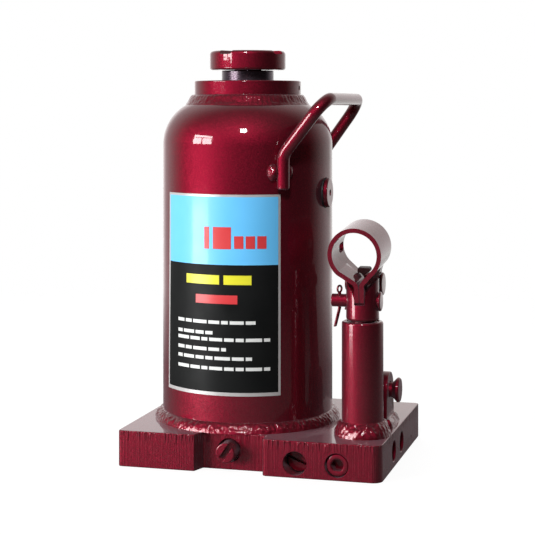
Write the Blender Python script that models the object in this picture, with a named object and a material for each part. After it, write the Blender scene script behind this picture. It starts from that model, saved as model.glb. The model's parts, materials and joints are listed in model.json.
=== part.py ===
"""Welded hydraulic bottle jack, 16 t class, as an assembly of separate pieces.

Metres, +Z up. The origin is on the ram's axis, at the underside of the base. The release valve and the label
face -Y, and the pump stands at the +X side. Run it from Blender's text editor, or with
blender --background --python part.py.
"""

import math

import bmesh
import bpy
from mathutils import Euler, Matrix, Vector

# ---------------------------------------------------------------- driving dimensions (metres)
GAP = 0.0003                     # clearance between pieces that rest on each other

# base plate
BASE_LEFT, BASE_RIGHT = -0.0565, 0.0885
BASE_HALF_DEPTH = 0.058
BASE_HEIGHT = 0.0195
BASE_CORNER, BASE_SMALL_CORNER = 0.0054, 0.0020      # front right corner, and the other three
BASE_EDGE = 0.0006
POCKET_LEFT, POCKET_RIGHT = -0.0131, 0.0244      # pocket for the release valve, in the front face
POCKET_DEPTH = 0.0085
POCKET_SLANT = 0.0026

# reservoir shell and the pieces on its axis
SHELL_RADIUS = 0.0481
SHELL_WALL = 0.003
SHOULDER_RADIUS, SHOULDER_SPAN = 0.0258, 65.0     # the shoulder's arc, and its span in degrees
SHOULDER_START = 0.1735
SHELL_TOP = 0.197
SHELL_MOUTH = 0.0309
NUT_RADIUS = 0.0303
NUT_BOTTOM, NUT_TOP = 0.190, 0.2094
NUT_BORE = 0.0214
CYLINDER_SEAT = 0.0158                          # bottom of the cylinder's counterbore in the base
CYLINDER_RADIUS, CYLINDER_BORE = 0.029, 0.023
RAM_RADIUS = 0.021
RAM_BOTTOM, RAM_TOP = 0.024, 0.2085
SCREW_RADIUS, SCREW_BORE = 0.0148, 0.01535
SCREW_BOTTOM = 0.066
NECK_TOP = 0.2152
SPIGOT_RADIUS, SPIGOT_TOP = 0.0075, 0.2220
SADDLE_RADIUS = 0.02155
SADDLE_BOTTOM, SADDLE_TOP = 0.2155, 0.2264
SADDLE_GROOVE_WIDTH, SADDLE_GROOVE_DEPTH = 0.0085, 0.0022
SADDLE_GROOVE_ANGLES = (-20.0, 70.0)             # degrees, two crossed grooves

# pump, at the front right of the base
PUMP_X, PUMP_Y = 0.0733, -0.0320
PUMP_SEAT = 0.0150
PUMP_RADIUS, PUMP_BORE = 0.01115, 0.0063
PUMP_TOP = 0.0802
PLUNGER_ROD, PLUNGER_HEAD = 0.0060, 0.0088
PLUNGER_BOTTOM = 0.0240
PIN_HEIGHT = 0.0908                              # plunger pin, above the floor
HEAD_SLOT = 0.0057
SLOT_FRONT = -0.0014                             # top of the wall that closes the slot in front, from the pin
EAR_INNER_RADIUS, EAR_OUTER_RADIUS = 0.0084, 0.0126   # ear height above the pin, at the slot and at the outside

# handle socket: a sheet bent to an omega, in its own tilted frame with the plunger pin as origin
SOCKET_TILT = math.radians(5.5)
SOCKET_FRONT, SOCKET_TUBE_END, SOCKET_REAR = -0.0090, 0.0202, 0.0290
SOCKET_SHEET = 0.0024
SOCKET_RING = 0.0133                             # radius of the sheet's middle
SOCKET_RING_SIDE, SOCKET_RING_HEIGHT = -0.0022, 0.0263
SOCKET_CORNER = 0.0105                           # where the flanks meet the legs
LEG_GAP_FRONT, LEG_GAP_REAR = 0.0002, 0.0036     # half gap between the legs
STOP_FRONT, STOP_BACK, STOP_TOP = 0.0069, 0.0119, 0.0166   # block on the tube that stops the bar
LEG_LOBE = 0.0072                                # radius of the legs' ends round the plunger pin
FLARE_START, FLARE_END = 0.0097, 0.0125

# link arm and its bracket
FULCRUM_Y, FULCRUM_Z = -0.0110, 0.0977
LOWER_PIN_Y, LOWER_PIN_Z = -0.0025, 0.0384
LINK_HALF = 0.0032
LINK_END, LINK_TOP_END = 0.0076, 0.0064          # radii of the lower and the upper end
BRACKET_EAR = 0.0099
BRACKET_INNER, BRACKET_OUTER = 0.0036, 0.0096
PLUNGER_PIN, FULCRUM_PIN, LOWER_PIN = 0.0035, 0.0040, 0.0041
PIN_CLEARANCE = 0.00035
FULCRUM_SLOT_INWARD = 0.0015                     # extra slot length that frees the closed linkage

# holes in the base
FRONT_HOLE = 0.0063
RELEASE_X, RELEASE_Z = 0.0040, 0.0105
SAFETY_X, SAFETY_Z = 0.0424, 0.0076
SUCTION_X, SUCTION_Z = 0.0649, 0.0079
SIDE_HOLE = 0.0055
SIDE_HOLES = ((-0.0217, 0.0090), (0.0013, 0.0091))   # (y, z) on the right face
GALLERY = 0.0025
# depths are from the front or right face: threaded mouth, valve seat, end of the passage
RELEASE_THREAD, RELEASE_SEAT, RELEASE_END = POCKET_DEPTH + 0.0120, POCKET_DEPTH + 0.0245, POCKET_DEPTH + 0.0320
SAFETY_SEAT, SAFETY_END = 0.0270, 0.0392
SUCTION_THREAD, SUCTION_SEAT, SUCTION_END = 0.0140, 0.0250, 0.0385
SIDE_THREAD, PRESSURE_END, DELIVERY_SEAT, DELIVERY_END = 0.0120, 0.0860, 0.0295, 0.0790
RELEASE_BORE, SUCTION_CHAMBER, DELIVERY_CHAMBER = 0.0044, 0.0034, 0.0036      # radii behind the threads
SUCTION_DRILL = 0.0018
RELEASE_STEM = 0.0053

# carry handle
HANDLE_ROD = 0.0034
HANDLE_FEET_Y = (-0.0406, 0.0362)
HANDLE_GRIP_ENDS = ((0.0557, -0.0454), (0.0568, 0.0427))     # (x, y) of the grip's corners
HANDLE_GRIP_Z = 0.1990
HANDLE_FOOT_BOTTOM, HANDLE_FOOT_TOP = 0.1514, 0.1690
HANDLE_BEND = 0.0110

# filler plug, pointing to +X, on a flat seat cut into the shell
PLUG_Y, PLUG_HEIGHT = -0.0075, 0.1470
PLUG_SEAT, PLUG_FACE = 0.0463, 0.0499
PLUG_RADIUS, PLUG_STEM = 0.0081, 0.0055
PLUG_HOLE = 0.0017

# label
LABEL_BOTTOM, LABEL_TOP = 0.0391, 0.1475
LABEL_MIDDLE, LABEL_HALF = math.radians(-95.0), math.radians(42.6)
LABEL_THICKNESS = 0.0002

STEPS = 32
PUMP_STEPS = 24
FINE_STEPS = 16


# ---------------------------------------------------------------- materials
def material(name, colour, roughness, metallic):
    finish = bpy.data.materials.new(name)
    finish.use_nodes = True
    shader = finish.node_tree.nodes["Principled BSDF"]
    shader.inputs["Base Color"].default_value = (*colour, 1.0)
    shader.inputs["Roughness"].default_value = roughness
    shader.inputs["Metallic"].default_value = metallic
    finish.diffuse_color = (*colour, 1.0)
    return finish


# ---------------------------------------------------------------- outlines
def arc(cx, cy, radius, start, end, count):
    """Points on a circle, from one angle to another in degrees, ends included."""
    points = []
    for k in range(count + 1):
        angle = math.radians(start + (end - start) * k / count)
        points.append((cx + radius * math.cos(angle), cy + radius * math.sin(angle)))
    return points


def rounded_path(corners, radius, steps=6):
    """A path through 3D corners, each inner corner replaced by an arc of the given radius."""
    corners = [Vector(c) for c in corners]
    path = [corners[0]]
    for before, corner, after in zip(corners, corners[1:], corners[2:]):
        incoming = (corner - before).normalized()
        outgoing = (after - corner).normalized()
        turn = incoming.angle(outgoing)
        start = corner - incoming * radius * math.tan(turn / 2)
        axis = incoming.cross(outgoing).normalized()
        centre = start + axis.cross(incoming) * radius
        for k in range(steps + 1):
            spin = Matrix.Rotation(turn * k / steps, 3, axis)
            path.append(centre + spin @ (start - centre))
    path.append(corners[-1])
    return path


# ---------------------------------------------------------------- solids
def add_object(name, bm, finish):
    """Turn a closed bmesh into an object with its faces pointing out."""
    bmesh.ops.recalc_face_normals(bm, faces=bm.faces)
    mesh = bpy.data.meshes.new(name)
    bm.to_mesh(mesh)
    bm.free()
    mesh.materials.append(finish)
    mesh.shade_smooth()
    mesh.set_sharp_from_angle(angle=math.radians(35))
    piece = bpy.data.objects.new(name, mesh)
    bpy.context.scene.collection.objects.link(piece)
    return piece


def turned(name, profile, finish, steps=STEPS):
    """A solid of revolution about local Z. The profile is a closed outline of (radius, height) points."""
    bm = bmesh.new()
    rings = []
    for radius, height in profile:
        if radius < 1e-6:
            rings.append([bm.verts.new((0.0, 0.0, height))])
            continue
        ring = []
        for k in range(steps):
            angle = 2 * math.pi * k / steps
            ring.append(bm.verts.new((radius * math.cos(angle), radius * math.sin(angle), height)))
        rings.append(ring)
    for lower, upper in zip(rings, rings[1:] + rings[:1]):
        if len(lower) == 1 and len(upper) == 1:
            continue
        for k in range(steps):
            n = (k + 1) % steps
            corners = (lower[k % len(lower)], upper[k % len(upper)], upper[n % len(upper)], lower[n % len(lower)])
            bm.faces.new(list(dict.fromkeys(corners)))
    return add_object(name, bm, finish)


def prism(name, outline, low, high, finish):
    """An outline in local XY, extruded along local Z from low to high."""
    bm = bmesh.new()
    bottom = [bm.verts.new((x, y, low)) for x, y in outline]
    top = [bm.verts.new((x, y, high)) for x, y in outline]
    bm.faces.new(bottom)
    bm.faces.new(top)
    count = len(outline)
    for k in range(count):
        n = (k + 1) % count
        bm.faces.new((bottom[k], bottom[n], top[n], top[k]))
    return add_object(name, bm, finish)


def swept(name, path, radius, finish, sides_setting=2):
    """A round bar along a path, as a curve with a bevel and filled ends."""
    curve = bpy.data.curves.new(name, "CURVE")
    curve.dimensions = "3D"
    curve.bevel_depth = radius
    curve.bevel_resolution = sides_setting
    curve.use_fill_caps = True
    spline = curve.splines.new("POLY")
    spline.points.add(len(path) - 1)
    for point, place in zip(spline.points, path):
        point.co = (*place, 1.0)
    curve.materials.append(finish)
    piece = bpy.data.objects.new(name, curve)
    bpy.context.scene.collection.objects.link(piece)
    return piece


def spring(name, radius, wire, length, turns, finish):
    """A helical spring along local Z from 0 to its length."""
    points_per_turn = 8
    count = int(turns * points_per_turn)
    path = []
    for k in range(count + 1):
        angle = 2 * math.pi * k / points_per_turn
        path.append((radius * math.cos(angle), radius * math.sin(angle), length * k / count))
    return swept(name, path, wire, finish, sides_setting=1)


def ball(name, radius, finish):
    """A steel ball, turned from a half circle."""
    outline = [(max(r, 0.0), z) for r, z in arc(0.0, 0.0, radius, -90, 90, 8)]
    return turned(name, outline, finish, steps=12)


# ---------------------------------------------------------------- placing and cutting
ALONG_X = Euler((0.0, math.pi / 2, 0.0))         # local Z points to +X
ALONG_Y = Euler((-math.pi / 2, 0.0, 0.0))        # local Z points to +Y


def place(piece, location, rotation=None):
    piece.location = location
    if rotation is not None:
        piece.rotation_euler = rotation
    return piece


def cutter(piece):
    """Keep a shape as a guide for a Boolean only."""
    piece.hide_render = True
    piece.display_type = "WIRE"
    return piece


def boolean(piece, other, operation="DIFFERENCE"):
    step = piece.modifiers.new(operation.title(), "BOOLEAN")
    step.operation = operation
    step.solver = "EXACT"
    step.object = cutter(other)


def bore(piece, sizes, start, direction, steps=FINE_STEPS):
    """A stepped round hole. Sizes are (radius, depth) pairs, widest first, measured from the start point."""
    profile = [(0.0, 0.0)]
    reached = 0.0
    for radius, depth in sizes:
        profile += [(radius, reached), (radius, depth)]
        reached = depth
    profile.append((0.0, reached))
    tool = turned("bore", profile, STEEL, steps)
    tool.rotation_mode = "QUATERNION"
    tool.rotation_quaternion = Vector((0, 0, 1)).rotation_difference(Vector(direction))
    tool.location = start
    boolean(piece, tool)


def drill(piece, radius, start, direction, length, steps=FINE_STEPS):
    """A plain round hole."""
    bore(piece, [(radius, length)], start, direction, steps)


def joint_axis(name, location):
    """An empty on a joint's axis, which the moving pieces hang from."""
    empty = bpy.data.objects.new(name, None)
    empty.location = location
    bpy.context.scene.collection.objects.link(empty)
    return empty


def hang(empty, *pieces):
    """Parent pieces to an empty without moving them."""
    for piece in pieces:
        piece.parent = empty
        piece.matrix_parent_inverse = Matrix.Translation(-empty.location)


# ---------------------------------------------------------------- base
def base_outline():
    """The plate seen from above: rounded corners, and a pocket with a slanted left wall in the front edge."""
    small, large = BASE_SMALL_CORNER, BASE_CORNER
    front, back = -BASE_HALF_DEPTH, BASE_HALF_DEPTH
    pocket = front + POCKET_DEPTH
    fillet = 0.0022
    outline = arc(BASE_LEFT + small, front + small, small, 180, 270, 4)
    outline.append((POCKET_LEFT, front))
    outline.append((POCKET_LEFT + POCKET_SLANT, pocket))
    outline += arc(POCKET_RIGHT - fillet, pocket - fillet, fillet, 90, 0, 4)
    outline += arc(POCKET_RIGHT + fillet, front + fillet, fillet, 180, 270, 4)
    outline += arc(BASE_RIGHT - large, front + large, large, 270, 360, 6)
    outline += arc(BASE_RIGHT - small, back - small, small, 0, 90, 4)
    outline += arc(BASE_LEFT + small, back - small, small, 90, 180, 4)
    return outline


def make_base():
    plate = prism("base_plate", base_outline(), 0.0, BASE_HEIGHT, PAINT)
    edge = plate.modifiers.new("Edge", "BEVEL")
    edge.width = BASE_EDGE
    edge.segments = 1
    edge.limit_method = "ANGLE"
    edge.angle_limit = math.radians(60)

    drill(plate, CYLINDER_RADIUS + GAP, (0.0, 0.0, CYLINDER_SEAT), (0, 0, 1), 0.03, STEPS)
    drill(plate, PUMP_RADIUS + GAP, (PUMP_X, PUMP_Y, PUMP_SEAT), (0, 0, 1), 0.03, PUMP_STEPS)

    ahead = 0.012
    front = -BASE_HALF_DEPTH - ahead

    def inward(x, z, *sizes):
        bore(plate, [(radius, ahead + depth) for radius, depth in sizes], (x, front, z), (0, 1, 0))

    inward(RELEASE_X, RELEASE_Z, (FRONT_HOLE, RELEASE_THREAD), (RELEASE_BORE, RELEASE_SEAT), (GALLERY, RELEASE_END))
    inward(SAFETY_X, SAFETY_Z, (FRONT_HOLE, SAFETY_SEAT), (GALLERY, SAFETY_END))
    inward(SUCTION_X, SUCTION_Z, (FRONT_HOLE, SUCTION_THREAD), (SUCTION_CHAMBER, SUCTION_SEAT),
           (SUCTION_DRILL, SUCTION_END))

    def leftward(y, z, *sizes):
        start = BASE_RIGHT + ahead
        bore(plate, [(radius, ahead + depth) for radius, depth in sizes], (start, y, z), (-1, 0, 0))

    leftward(*SIDE_HOLES[0], (SIDE_HOLE, SIDE_THREAD), (GALLERY, PRESSURE_END))
    leftward(*SIDE_HOLES[1], (SIDE_HOLE, SIDE_THREAD), (DELIVERY_CHAMBER, DELIVERY_SEAT), (GALLERY, DELIVERY_END))
    # upright passages into the cylinder and into the pump, and the one that joins the suction hole to the pump
    delivery_y, delivery_z = SIDE_HOLES[1]
    drill(plate, 0.0022, (BASE_RIGHT - DELIVERY_END + GALLERY, delivery_y, delivery_z), (0, 0, 1), 0.012)
    drill(plate, 0.0020, (PUMP_X, PUMP_Y, SUCTION_Z), (0, 0, 1), 0.012)
    drill(plate, 0.0016, (PUMP_X + 0.0006, PUMP_Y, SUCTION_Z + 0.0005), (-1, 0, 0), PUMP_X - SUCTION_X)


# ---------------------------------------------------------------- reservoir and ram
def make_shell():
    """Tube with a round shoulder and an in-turned top, open at the bottom."""
    inner = SHELL_RADIUS - SHELL_WALL
    bottom = BASE_HEIGHT + GAP
    middle = SHELL_RADIUS - SHOULDER_RADIUS
    profile = [(inner, bottom), (SHELL_RADIUS, bottom)]
    profile += arc(middle, SHOULDER_START, SHOULDER_RADIUS, 0, SHOULDER_SPAN, 9)
    profile += [(SHELL_MOUTH, SHELL_TOP), (SHELL_MOUTH, SHELL_TOP - SHELL_WALL)]
    profile += arc(middle, SHOULDER_START, SHOULDER_RADIUS - SHELL_WALL, SHOULDER_SPAN, 0, 7)
    shell = turned("reservoir_shell", profile, PAINT)
    outside = PLUG_FACE + 0.006
    bore(shell, [(PLUG_RADIUS + GAP, outside - PLUG_SEAT), (PLUG_STEM + GAP, 0.016)],
         (outside, PLUG_Y, PLUG_HEIGHT), (-1, 0, 0), PUMP_STEPS)


def weld_ring(name, radius, reach, height, low, finish, steps=STEPS):
    """A round bead in the corner between a tube and the plate under it."""
    inner = radius + GAP
    profile = [(inner, low), (inner + reach, low)]
    for k in range(1, 5):
        angle = math.radians(18 * k)
        bulge = 1.0 - 0.12 * math.sin(2 * angle)
        profile.append((inner + reach * bulge * math.cos(angle), low + height * bulge * math.sin(angle)))
    profile.append((inner, low + height))
    return turned(name, profile, finish, steps)


def make_top_weld():
    """Flat bead that runs from the nut out over the shoulder; its upper face is a slope in short steps."""
    inner, low = NUT_RADIUS + GAP, SHELL_TOP + GAP
    toe = SHELL_RADIUS - SHOULDER_RADIUS + SHOULDER_RADIUS * math.cos(math.radians(SHOULDER_SPAN))
    profile = [(inner, low), (toe, low - 0.0001), (toe + 0.0014, low - 0.0007), (toe + 0.0017, low - 0.0005)]
    profile += [(0.0337, 0.1981), (0.0326, 0.1999), (0.0317, 0.2013), (inner, 0.2016)]
    turned("top_weld", profile, PAINT)


def make_cylinder_group():
    """Inner hydraulic cylinder, its gasket, the nut that clamps it, and the seals in the nut."""
    foot = CYLINDER_SEAT + GAP + 0.0009 + GAP
    top = NUT_BOTTOM + 0.006
    profile = [(CYLINDER_BORE, foot), (CYLINDER_RADIUS, foot), (CYLINDER_RADIUS, NUT_BOTTOM - GAP)]
    profile += [(0.0262, NUT_BOTTOM - GAP), (0.0262, top), (CYLINDER_BORE, top)]
    turned("hydraulic_cylinder", profile, STEEL)
    washer_low = CYLINDER_SEAT + GAP
    turned("cylinder_gasket", [(0.0236, washer_low), (0.0286, washer_low), (0.0286, washer_low + 0.0009),
                               (0.0236, washer_low + 0.0009)], COPPER)

    groove_low, groove_high, groove = NUT_TOP - 0.0068, NUT_TOP - 0.0020, 0.0240
    profile = [(0.0266, NUT_BOTTOM), (NUT_RADIUS, NUT_BOTTOM), (NUT_RADIUS, NUT_TOP - 0.0006),
               (NUT_RADIUS - 0.0006, NUT_TOP), (NUT_BORE, NUT_TOP)]
    profile += [(NUT_BORE, groove_high), (groove, groove_high), (groove, groove_low), (NUT_BORE, groove_low)]
    profile += [(NUT_BORE, top + 0.0022), (0.0266, top + 0.0022)]
    nut = turned("top_nut", profile, PAINT)
    for side in (1, -1):
        drill(nut, 0.0013, (side * 0.034, 0.0, 0.2053), (-side, 0, 0), 0.0075, 12)
    turned("ram_wiper", [(RAM_RADIUS + GAP, groove_low + GAP), (groove - GAP, groove_low + GAP),
                         (groove - GAP, groove_high - GAP), (0.0222, groove_high - GAP),
                         (RAM_RADIUS + GAP, groove_high - 0.0012)], RUBBER)
    seal_low, seal_high = top + GAP, top + 0.0022 - GAP
    turned("cylinder_top_seal", [(0.0224, seal_low), (0.0261, seal_low), (0.0261, seal_high), (0.0224, seal_high)],
           COPPER)


def make_ram():
    """Ram with a piston at its foot, and a deep bore for the extension screw."""
    piston = CYLINDER_BORE - GAP
    groove = piston - 0.0032
    seal_low, seal_high = RAM_BOTTOM + 0.004, RAM_BOTTOM + 0.0092
    ring_low, ring_high = RAM_BOTTOM + 0.0112, RAM_BOTTOM + 0.0132
    bore_bottom = SCREW_BOTTOM - 0.006
    profile = [(0.0, RAM_BOTTOM), (piston - 0.001, RAM_BOTTOM), (piston, RAM_BOTTOM + 0.001)]
    for low, high in ((seal_low, seal_high), (ring_low, ring_high)):
        profile += [(piston, low), (groove, low), (groove, high), (piston, high)]
    profile += [(piston, RAM_BOTTOM + 0.016), (RAM_RADIUS, RAM_BOTTOM + 0.016)]
    profile += [(RAM_RADIUS, RAM_TOP - 0.001), (RAM_RADIUS - 0.001, RAM_TOP)]
    profile += [(SCREW_BORE, RAM_TOP), (SCREW_BORE, bore_bottom), (0.0, bore_bottom - 0.004)]
    ram = turned("ram", profile, CHROME)
    seal = turned("piston_seal", [(groove + GAP, seal_low + GAP), (piston, seal_low + GAP),
                                  (piston + 0.0001, seal_high - 0.0018), (piston - 0.0012, seal_high - GAP),
                                  (groove + GAP, seal_high - GAP)], RUBBER)
    ring = turned("piston_ring", [(groove + GAP, ring_low + GAP), (piston, ring_low + GAP),
                                  (piston, ring_high - GAP), (groove + GAP, ring_high - GAP)], BRONZE)
    hang(joint_axis("ram_axis", (0.0, 0.0, 0.0)), ram, seal, ring)


def make_screw_and_saddle():
    groove_low, groove_high = 0.2183, 0.2200
    profile = [(0.0, SCREW_BOTTOM), (SCREW_RADIUS - 0.0015, SCREW_BOTTOM), (SCREW_RADIUS, SCREW_BOTTOM + 0.0015)]
    profile += [(SCREW_RADIUS, NECK_TOP - 0.0006), (SCREW_RADIUS - 0.0006, NECK_TOP), (SPIGOT_RADIUS, NECK_TOP)]
    profile += [(SPIGOT_RADIUS, groove_low), (SPIGOT_RADIUS - 0.0009, groove_low)]
    profile += [(SPIGOT_RADIUS - 0.0009, groove_high), (SPIGOT_RADIUS, groove_high)]
    profile += [(SPIGOT_RADIUS, SPIGOT_TOP - 0.0008), (SPIGOT_RADIUS - 0.0008, SPIGOT_TOP), (0.0, SPIGOT_TOP)]
    screw = turned("extension_screw", profile, DARK_STEEL)

    socket = SPIGOT_RADIUS + GAP
    profile = [(socket, SADDLE_BOTTOM)]
    profile += arc(SADDLE_RADIUS - 0.0013, SADDLE_BOTTOM + 0.0013, 0.0013, -90, 0, 4)
    profile += arc(SADDLE_RADIUS - 0.0018, SADDLE_TOP - 0.0018, 0.0018, 0, 90, 4)
    profile += [(0.0072, SADDLE_TOP), (0.0062, SADDLE_TOP - 0.0016), (0.0, SADDLE_TOP - 0.0016)]
    profile += [(0.0, SPIGOT_TOP + GAP), (socket, SPIGOT_TOP + GAP)]
    profile += [(socket, groove_high), (socket + 0.0009, groove_high)]
    profile += [(socket + 0.0009, groove_low), (socket, groove_low)]
    saddle = turned("saddle", profile, PAINT)
    half, deep = SADDLE_GROOVE_WIDTH / 2, SADDLE_GROOVE_DEPTH
    channel = [(-half, 0.001), (-half + 0.0008, -deep), (half - 0.0008, -deep), (half, 0.001)]
    for number, angle in enumerate(SADDLE_GROOVE_ANGLES):
        tool = prism("groove", channel, -0.03 - 0.001 * number, 0.03 + 0.001 * number, PAINT)
        place(tool, (0.0, 0.0, SADDLE_TOP), Euler((math.pi / 2, 0.0, math.radians(angle + 90)), "XYZ"))
        boolean(saddle, tool)
    middle = (groove_low + groove_high) / 2
    retainer = turned("saddle_retaining_ring", [(SPIGOT_RADIUS - 0.0006, middle - 0.0005),
                                                (socket + 0.0006, middle - 0.0005),
                                                (socket + 0.0006, middle + 0.0005),
                                                (SPIGOT_RADIUS - 0.0006, middle + 0.0005)], STEEL)
    hang(joint_axis("saddle_axis", (0.0, 0.0, 0.0)), saddle, retainer)
    hang(joint_axis("screw_axis", (0.0, 0.0, 0.0)), screw)


# ---------------------------------------------------------------- pump
def on_pump(piece):
    return place(piece, (PUMP_X, PUMP_Y, 0.0))


def make_pump_cylinder():
    foot = PUMP_SEAT + GAP
    seat = PUMP_TOP - 0.0097
    wide = 0.0085
    profile = [(PUMP_BORE, foot), (PUMP_RADIUS, foot)]
    profile += arc(PUMP_RADIUS - 0.001, PUMP_TOP - 0.001, 0.001, 0, 90, 3)
    profile += [(wide, PUMP_TOP), (wide, seat), (PUMP_BORE, seat)]
    on_pump(turned("pump_cylinder", profile, PAINT, PUMP_STEPS))
    on_pump(weld_ring("pump_weld", PUMP_RADIUS, 0.0036, 0.0075, BASE_HEIGHT + GAP, PAINT, PUMP_STEPS))
    rod = PLUNGER_ROD + GAP
    seal_low, seal_high, ring_high = seat + GAP, seat + 0.0050, PUMP_TOP - GAP
    on_pump(turned("pump_rod_seal", [(rod, seal_low), (wide - GAP, seal_low), (wide - GAP, seal_high),
                                     (rod, seal_high)], RUBBER, PUMP_STEPS))
    on_pump(turned("pump_gland_ring", [(rod, seal_high + GAP), (wide - GAP, seal_high + GAP),
                                       (wide - GAP, ring_high), (rod, ring_high)], BRONZE, PUMP_STEPS))


def make_plunger():
    """Plunger with a slotted head, its cup seal, and the pin that carries the handle socket."""
    low, high = PLUNGER_BOTTOM + 0.003, PLUNGER_BOTTOM + 0.0072
    neck = PLUNGER_ROD - 0.0022
    head_low = PUMP_TOP + GAP
    profile = [(0.0, PLUNGER_BOTTOM), (PLUNGER_ROD - 0.0005, PLUNGER_BOTTOM), (PLUNGER_ROD, PLUNGER_BOTTOM + 0.0005)]
    profile += [(PLUNGER_ROD, low), (neck, low), (neck, high), (PLUNGER_ROD, high), (PLUNGER_ROD, head_low)]
    profile += arc(PLUNGER_HEAD - 0.0012, head_low + 0.0012, 0.0012, -90, 0, 3)
    head_high = PIN_HEIGHT + EAR_OUTER_RADIUS + 0.002
    profile += [(PLUNGER_HEAD, head_high), (0.0, head_high)]
    plunger = on_pump(turned("pump_plunger", profile, PAINT, PUMP_STEPS))

    sweep = LEG_LOBE + 0.0004
    first = 180 + math.degrees(math.asin(-SLOT_FRONT / sweep))
    slot = [(-0.0120, PIN_HEIGHT + SLOT_FRONT)] + arc(0.0, PIN_HEIGHT, sweep, first, 270, 8)
    slot += [(0.0120, PIN_HEIGHT - sweep), (0.0120, PIN_HEIGHT + 0.016), (-0.0120, PIN_HEIGHT + 0.016)]
    tool = prism("slot", slot, -HEAD_SLOT / 2, HEAD_SLOT / 2, PAINT)
    place(tool, (PUMP_X, PUMP_Y, 0.0), Euler((math.pi / 2, 0.0, math.pi / 2)))
    boolean(plunger, tool)

    low_reach = PIN_HEIGHT - PLUNGER_BOTTOM + 0.002
    inner, outer, edge = EAR_INNER_RADIUS, EAR_OUTER_RADIUS, PLUNGER_HEAD + 0.0006
    crown = turned("ear_crown", [(0.0, -edge), (outer, -edge), (inner, -0.003), (inner, 0.003), (outer, edge),
                                 (0.0, edge)], PAINT, PUMP_STEPS + 2)
    place(crown, (PUMP_X, PUMP_Y, PIN_HEIGHT), ALONG_X)
    below = prism("below_pin", [(-0.012, -low_reach), (0.012, -low_reach), (0.012, -0.0005), (-0.012, -0.0005)],
                  -0.0125, 0.0125, PAINT)
    place(below, (PUMP_X, PUMP_Y, PIN_HEIGHT), Euler((math.pi / 2, 0.0, math.pi / 2)))
    boolean(crown, below, "UNION")
    boolean(plunger, crown, "INTERSECT")
    drill(plunger, PLUNGER_PIN + PIN_CLEARANCE, (PUMP_X - 0.012, PUMP_Y, PIN_HEIGHT), (1, 0, 0), 0.024)

    seal = turned("plunger_seal", [(neck + GAP, low + GAP), (PLUNGER_ROD, low + GAP), (PLUNGER_ROD, high - GAP),
                                   (neck + GAP, high - GAP)], RUBBER, PUMP_STEPS)
    on_pump(seal)
    pin, cotter = make_pin("plunger_pin", PLUNGER_PIN, PUMP_Y, PIN_HEIGHT, -0.0167,
                           PLUNGER_HEAD + GAP, 0.0013, 0.0052, -0.0126)
    hang(joint_axis("plunger_axis", (PUMP_X, PUMP_Y, PIN_HEIGHT)), plunger, seal, pin, cotter)


def make_pin(name, radius, y, z, left, right, head_thickness, head_radius, cotter_at, cone=0.0):
    """A headed pin along X through the pump's middle plane, with a split pin at its left end."""
    chamfer = 0.0005
    profile = [(0.0, left), (radius - chamfer, left), (radius, left + chamfer)]
    if cone:
        profile += [(radius, right), (head_radius, right + cone)]
    else:
        profile += [(radius, right), (head_radius - 0.0004, right), (head_radius, right + 0.0004)]
    profile += [(head_radius, right + head_thickness - 0.0005), (head_radius - 0.0006, right + head_thickness),
                (0.0, right + head_thickness)]
    pin = turned(name, profile, PAINT, FINE_STEPS)
    place(pin, (PUMP_X, y, z), ALONG_X)
    drill(pin, 0.0014, (PUMP_X + cotter_at, y, z - 0.009), (0, 0, 1), 0.018, 12)
    cotter = make_cotter(name.replace("_pin", "_cotter"), radius)
    place(cotter, (PUMP_X + cotter_at, y, z))
    return pin, cotter


def make_cotter(name, pin_radius):
    """Split pin: two legs side by side through the pin, and a round eye above it."""
    turn = math.radians(64)                          # the legs' plane, from X
    wire, apart, eye = 0.00047, 0.00055, 0.00175
    tail = 0.0024                                    # both legs lean to -X
    top = pin_radius + 0.0003
    spread = math.asin(apart / eye)
    centre = top + 0.0006 + eye * math.cos(spread)

    def at(across, z, lean=0.0):
        return (across * math.cos(turn) - lean, across * math.sin(turn), z)

    path = [at(-apart, -pin_radius - 0.0106, tail), at(-apart, -pin_radius - 0.0008), at(-apart, top)]
    for k in range(11):
        angle = -math.pi / 2 - spread - (2 * math.pi - 2 * spread) * k / 10
        path.append(at(eye * math.cos(angle), centre + eye * math.sin(angle)))
    path += [at(apart, top), at(apart, -pin_radius - 0.0008), at(apart, -pin_radius - 0.0104, tail)]
    return swept(name, path, wire, PAINT, sides_setting=1)


# ---------------------------------------------------------------- handle socket
def omega_middle(half_gap):
    """The sheet's middle line across the socket, from the foot of the left leg over the ring to the right leg."""
    ring_end = 48.0
    right = []
    for x, z in arc(SOCKET_RING_SIDE, SOCKET_RING_HEIGHT, SOCKET_RING, 90, -ring_end, 12):
        right.append((x, z))
    left = []
    for x, z in arc(SOCKET_RING_SIDE, SOCKET_RING_HEIGHT, SOCKET_RING, 90, 180 + ring_end, 12)[1:]:
        left.append((x, z))

    def leg(end, side):
        """From the ring's end down a straight flank, round a soft bend, and down the leg."""
        line = side * (half_gap + SOCKET_SHEET / 2)
        corner = Vector((line, SOCKET_CORNER))
        flank = Vector(end) - corner
        bend = 0.25 * abs(flank.x)
        control = (corner + flank.normalized() * bend, corner, corner - Vector((0.0, bend)))
        points = []
        for k in range(5):
            t = k / 4
            mixed = control[0] * (1 - t) ** 2 + control[1] * 2 * t * (1 - t) + control[2] * t * t
            points.append((mixed.x, mixed.y))
        points.append((line, -0.0110))
        return points

    right += leg(right[-1], 1)
    left += leg(left[-1], -1)
    return left[::-1] + right


def offset_line(points, distance):
    """Shift an open line sideways by a distance, along its normals."""
    shifted = []
    for k, (x, z) in enumerate(points):
        before = points[max(k - 1, 0)]
        after = points[min(k + 1, len(points) - 1)]
        along = Vector((after[0] - before[0], after[1] - before[1])).normalized()
        shifted.append((x - along.y * distance, z + along.x * distance))
    return shifted


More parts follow.
